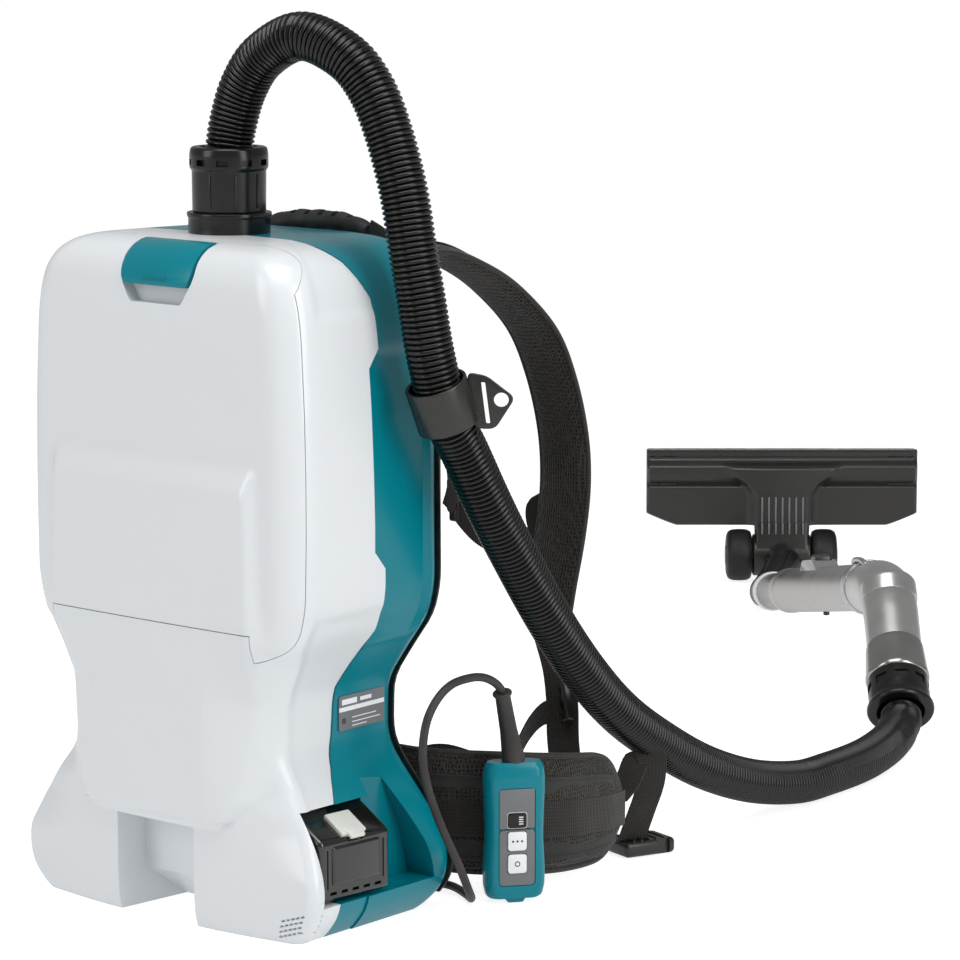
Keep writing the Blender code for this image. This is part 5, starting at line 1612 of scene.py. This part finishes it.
def make_shoulder_strap(side, sign):
    path = smooth_route(handed(STRAP_ROUTE, sign), ROUTE_STEP)
    half = STRAP_WIDTH / 2
    across = []
    for i in range(len(path)):
        t = i / (len(path) - 1)
        across.append(Vector((1.0, 0.1 * sign * sin(pi * t),
                              0.05 * sign * sin(2 * pi * t))))

    def section(t):
        swell = 1.0 + 0.03 * sin(9.0 * t) - 0.14 * exp(-(t / 0.06) ** 2)
        return pad_section(half * swell, STRAP_THICKNESS, 0.007 * sign)

    strap = band(f"shoulder_strap_{side}_pad", path, across, section)
    finish(strap, "mesh", f"shoulder_strap_{side}", 60)
    for edge in (-1, 1):
        line = edge_line(path, across, edge * half * 0.985)
        piping = tube(f"strap_binding_{side}_{'inner' if edge * sign < 0 else 'outer'}", line[1:-1], 0.002,
                      12)
        finish(piping, "piping", angle=70)
    strip, path = webbing(f"strap_webbing_{side}_band", handed(WEBBING_ROUTE, sign),
                          (0.0135, 0.005 * sign, 0),
                          0.014, 0.002, f"strap_webbing_{side}")
    # A flat webbing lies over the start of the strap.
    top = [(0.056, 0.1, 0.5), (0.062, 0.118, 0.511), (0.07, 0.14, 0.511), (0.077, 0.164, 0.501),
           (0.08, 0.186, 0.486), (0.0815, 0.2, 0.4745)]
    webbing(f"load_webbing_{side}", handed(top, sign), (1.0, 0.1 * sign, 0), 0.0115, 0.0014)
    make_ladder_lock(side, sign)


def make_ladder_lock(side, sign):
    """The adjuster on the strap's webbing: a frame with two bars."""
    middle = Vector((sign * 0.104, 0.26, 0.129))
    along = Vector((sign * 0.4, -0.2, -1.0)).normalized()
    seat = axes_matrix(middle, along, Vector((sign * 0.45, 0.9, -0.05)))
    body = box(f"ladder_lock_{side}", (-0.0165, -0.0165, -0.0036), (0.0165, 0.0165, 0.004), seat, 0.0022, 4)
    holes = [box("lock_hole", (x, -0.0128, -0.02), (x + 0.0062, 0.0128, 0.02), seat)
             for x in (-0.0118, 0.0006)]
    combine(body, holes)
    finish(body, "satin_black")


def belt_lines(sign):
    lower, upper = (smooth_route([(sign * row[0], row[1], row[edge]) for row in BELT_ROUTE], ROUTE_STEP)
                    for edge in (2, 3))
    last = min(len(lower), len(upper)) - 1
    pairs = []
    for i in range(last + 1):
        pairs.append(tuple(line[min(round(i / last * (len(line) - 1)), len(line) - 1)]
                           for line in (lower, upper)))
    return pairs


def belt_place(pairs, sign, start, end, share, out, steps):
    """Points along the wing at a share of its height, lifted outward from its middle surface."""
    found = []
    for k in range(steps + 1):
        t = (start + (end - start) * k / steps) * (len(pairs) - 1)
        i = min(int(t), len(pairs) - 2)
        mix = t - i
        low = pairs[i][0].lerp(pairs[i + 1][0], mix)
        high = pairs[i][1].lerp(pairs[i + 1][1], mix)
        ahead = (pairs[min(i + 2, len(pairs) - 1)][0] - pairs[max(i - 1, 0)][0]).normalized()
        normal = ahead.cross(high - low).normalized() * sign
        found.append(low.lerp(high, share) + normal * out)
    return found


def make_belt_wing(side, sign):
    pairs = belt_lines(sign)
    rows = []
    uvs = []
    run = 0.0
    for i, (low, high) in enumerate(pairs):
        if i:
            run += (low - pairs[i - 1][0]).length
        ahead = (pairs[min(i + 1, len(pairs) - 1)][0] - pairs[max(i - 1, 0)][0]).normalized()
        side_of = (high - low).normalized()
        out = ahead.cross(side_of).normalized()
        half = (high - low).length / 2
        middle = (low + high) / 2
        t = i / (len(pairs) - 1)
        end_fade = 0.35 + 0.65 * sqrt(max(0.0, ease(min(t, 1 - t) / 0.06)))
        ring = [middle + side_of * a + out * b * end_fade for a,
                b in pad_section(half, BELT_THICKNESS, None, 21)]
        rows.append(ring)
        uvs += [(run, a) for a, b in pad_section(half, BELT_THICKNESS, None, 21)]
    wing = puffed(grid_solid(f"belt_wing_{side}_pad", rows, uvs=uvs), limit=0.0012)
    finish(wing, "mesh", f"belt_wing_{side}", 60)
    lift = BELT_THICKNESS / 2
    for name, share in (("low", 0.0), ("high", 1.0)):
        line = belt_place(pairs, sign, 0.0, 1.0, share, 0.0, 70)
        finish(tube(f"belt_binding_{side}_{name}", line, 0.0024, 12), "piping", angle=70)
    for name, start, end, share, half, thick, material, out in (
        ("satin_high", 0.0, 0.86, 0.735, 0.0085, 0.0016, "packcloth", lift + 0.0004),
        ("satin_low", 0.0, 0.9, 0.215, 0.01, 0.0016, "packcloth", lift + 0.0002),
        ("panel", 0.0, 0.5, 0.46, 0.03, 0.0012, "packcloth", lift + 0.0008),
        ("webbing", 0.0, 0.97, 0.465, 0.0145, 0.0018, "webbing", lift + 0.0016),
    ):
        line = belt_place(pairs, sign, start, end, share, out, 60)
        across = [b - a for a, b in zip(belt_place(pairs, sign, start, end, 0.0, out, 60),
                                        belt_place(pairs, sign, start, end, 1.0, out, 60))]
        strip = band(f"belt_{name}_{side}", line, across, webbing_section(half, thick))
        finish(strip, material, angle=50)
    for name, share in (("a", 0.8), ("b", 0.67), ("c", 0.285), ("d", 0.145)):
        stitches(f"belt_stitch_{side}_{name}", belt_place(pairs, sign, 0.02, 0.86, share, lift + 0.0013, 60))
    make_belt_buckle(side, sign)


def make_belt_buckle(side, sign):
    middle = Vector((sign * 0.133, 0.326, 0.007))
    seat = axes_matrix(middle, (sign * 0.3, 1.0, 0.0), (0, 0, 1))
    buckle = box(f"belt_buckle_{side}_body", (-0.024, -0.017, -0.0065), (0.024, 0.017, 0.0065), seat, 0.004,
                 5)
    ribs = []
    for i in range(5):
        x = -0.015 + 0.0075 * i
        ribs.append(box("buckle_rib", (x - 0.0011, -0.015, 0.004), (x + 0.0011, 0.015, 0.0078), seat, 0.0009,
                        3))
    combine(buckle, ribs, "UNION")
    cuts = [box("buckle_mouth", (0.017, -0.0125, -0.0022), (0.03, 0.0125, 0.0022), seat)]
    for y in (-0.0185, 0.014):
        cuts.append(box("buckle_prong", (0.006, y, -0.009), (0.018, y + 0.0045, 0.009), seat))
    combine(buckle, cuts)
    finish(buckle, "satin_black", f"belt_buckle_{side}")
    # The webbing leaves the wing, turns up in a loop, and comes down to the buckle.
    loop = [(0.147, 0.275, 0.052), (0.145, 0.29, 0.06), (0.144, 0.302, 0.074), (0.146, 0.308, 0.087),
            (0.15, 0.312, 0.09), (0.153, 0.316, 0.083), (0.15, 0.318, 0.06), (0.143, 0.314, 0.035),
            (0.1375, 0.312, 0.018), (0.1335, 0.315, 0.0085)]
    webbing(f"belt_tail_{side}", handed(loop, sign), (0.55 * sign, 0.83, 0.1), 0.0125, 0.0017)


def make_chest_strap():
    route = [(-0.056, 0.2975, 0.281), (-0.04, 0.2985, 0.2655), (-0.022, 0.2995, 0.254),
             (0.0083, 0.3005, 0.246),
             (0.032, 0.3, 0.25), (0.056, 0.2965, 0.262)]
    webbing("chest_strap_band", route, (0, 0, 1), 0.0128, 0.002, "chest_strap")
    for side, sign, height in (("right", 1, 0.266), ("left", -1, 0.285)):
        loop = [(0.054, 0.296, height - 0.015), (0.045, 0.2925, height + 0.004),
                (0.047, 0.29, height + 0.022),
                (0.06, 0.289, height + 0.03)]
        webbing(f"chest_tab_{side}", handed(loop, sign), (0.9 * sign, 0.1, 0.5), 0.0075, 0.0018)
        buckle = box(f"chest_slider_{side}", (sign * 0.048 - 0.0055, 0.2955, height - 0.026),
                     (sign * 0.048 + 0.0055, 0.3025, height + 0.004), None, 0.0022, 4)
        finish(buckle, "satin_black")


def make_grip():
    route = [(-0.06, 0.0975, 0.519), (-0.035, 0.0985, 0.5245), (-0.008, 0.099, 0.526), (0.02, 0.0988, 0.525),
             (0.046, 0.0978, 0.519)]
    path = smooth_route(route, 0.0012)
    radii = []
    for i in range(len(path)):
        t = i / (len(path) - 1)
        wave = 0.5 - 0.5 * cos(tau * 5 * t)
        end = ease(min(t, 1 - t) / 0.05)
        radii.append((0.008 + 0.0008 * wave) * (0.86 + 0.14 * end))
    grip = tube("carry_grip_rubber", path, radii, 40)
    cuts = []
    for i in range(7):
        x = -0.05 + 0.015 * i
        cuts.append(box("grip_notch", (x, 0.088, 0.5305), (x + 0.005, 0.11, 0.54)))
    combine(grip, cuts)
    finish(grip, "rubber", "carry_grip", 45)
    for side, points in (
        ("left", [(-0.06, 0.0974, 0.5186), (-0.072, 0.0965, 0.512), (-0.079, 0.095, 0.501),
                  (-0.081, 0.0943, 0.49)]),
        ("right", [(0.046, 0.0976, 0.5184), (0.06, 0.0965, 0.513), (0.079, 0.095, 0.501),
                   (0.086, 0.0943, 0.49)]),
    ):
        path = smooth_route(points, 0.003)
        across = [heading(path, i).cross(Vector((0, 1, 0))) for i in range(len(path))]
        strip = band(f"grip_webbing_{side}_band", path, across, webbing_section(0.012, 0.0018))
        finish(strip, "webbing", f"grip_webbing_{side}", 50)


def make_back_pads():
    for node, name in (("back_pad", "back_pad_mesh"), ("lumbar_pad", "lumbar_pad_mesh")):
        low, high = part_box(node)
        depth = (high.y - low.y) / 2
        middle = (low + high) / 2
        rows = []
        for r in range(41):
            v = 2 * r / 40 - 1
            ring = []
            for i in range(40):
                c, s = squared(tau * i / 40, 0.28, 0.9)
                edge = (1 - abs(v) ** 6) ** 0.4 if abs(v) < 1 else 0.0
                x = middle.x + (high.x - low.x) / 2 * c * (0.93 + 0.07 * edge)
                ribbed = 0.9 + 0.1 * cos(v * pi * 5) if s > 0 else 1.0
                y = middle.y + depth * s * (0.35 + 0.65 * edge) * ribbed
                ring.append(Vector((x, y, middle.z + (high.z - low.z) / 2 * v)))
            rows.append(ring)
        pad = puffed(grid_solid(name, rows), limit=0.001)
        finish(pad, "mesh", node, 60)


def make_load_loop():
    """Thin webbing that leaves the back plate above the belt, dips behind the cable and reaches the strap."""
    loops = (
        ("loop", 0.0042, [(0.074, 0.112, 0.099), (0.081, 0.122, 0.109), (0.093, 0.137, 0.11),
                          (0.109, 0.156, 0.102), (0.123, 0.172, 0.096)]),
        ("lead", 0.01, [(0.101, 0.256, 0.125), (0.099, 0.242, 0.123), (0.099, 0.226, 0.113),
                          (0.103, 0.208, 0.098), (0.109, 0.196, 0.09)]),
    )
    for name, half, points in loops:
        webbing(f"belt_{name}_webbing", points, (0.0, 0.1, 1.0), half, 0.0015)


def make_harness():
    make_grip()
    make_load_loop()
    for side, sign in SIDES:
        make_shoulder_strap(side, sign)
        make_belt_wing(side, sign)
    make_chest_strap()
    make_back_pads()


# --- Stage ---
def make_floor():
    paint = Paint("studio_floor", (0.55, 0.55, 0.55), 0.8, specular=0.1)
    paint.set("Emission Color", (1.0, 1.0, 1.0, 1.0))
    path = paint.node("LightPath")
    paint.link(paint.remap(path.outputs["Is Camera Ray"], 0.0, 1.0, 0.42, 0.84),
               paint.shader.inputs["Emission Strength"])
    floor = object_of("studio_floor", [(-150, -150, 0), (150, -150, 0), (150, 150, 0), (-150, 150, 0)],
                      [(0, 1, 2, 3)])
    floor.location.z = -0.0004
    floor.data.materials.append(paint.material)


def area_light(name, location, target, size, power):
    data = bpy.data.lights.new(name, "AREA")
    data.shape = "RECTANGLE"
    data.size, data.size_y = size
    data.energy = power
    light = bpy.data.objects.new(name, data)
    light.location = location
    light.rotation_euler = (Vector(target) - Vector(location)).to_track_quat("-Z", "Y").to_euler()
    bpy.context.scene.collection.objects.link(light)


def make_lights():
    world = bpy.data.worlds.new("studio")
    world.use_nodes = True
    background = world.node_tree.nodes["Background"]
    background.inputs["Color"].default_value = (1.0, 1.0, 1.0, 1.0)
    background.inputs["Strength"].default_value = 0.3
    bpy.context.scene.world = world
    target = (0.0, 0.1, 0.25)
    area_light("key", (2.6, 0.2, 1.3), target, (1.2, 2.4), 34)
    area_light("top", (0.4, -0.4, 2.6), target, (1.8, 1.8), 34)
    area_light("front", (-1.0, -2.6, 1.5), target, (1.2, 2.0), 21)
    bpy.context.scene.view_settings.view_transform = "Standard"
    bpy.context.scene.view_settings.look = "None"


make_camera()
make_materials()
make_hose()
make_housings()
make_cover()
make_latch()
make_back_plate()
make_inlet()
make_inside()
for battery_side, battery_sign in SIDES:
    make_battery(battery_side, battery_sign)
make_label()
make_wand()
make_nozzle()
make_remote()
make_harness()
make_floor()
make_lights()
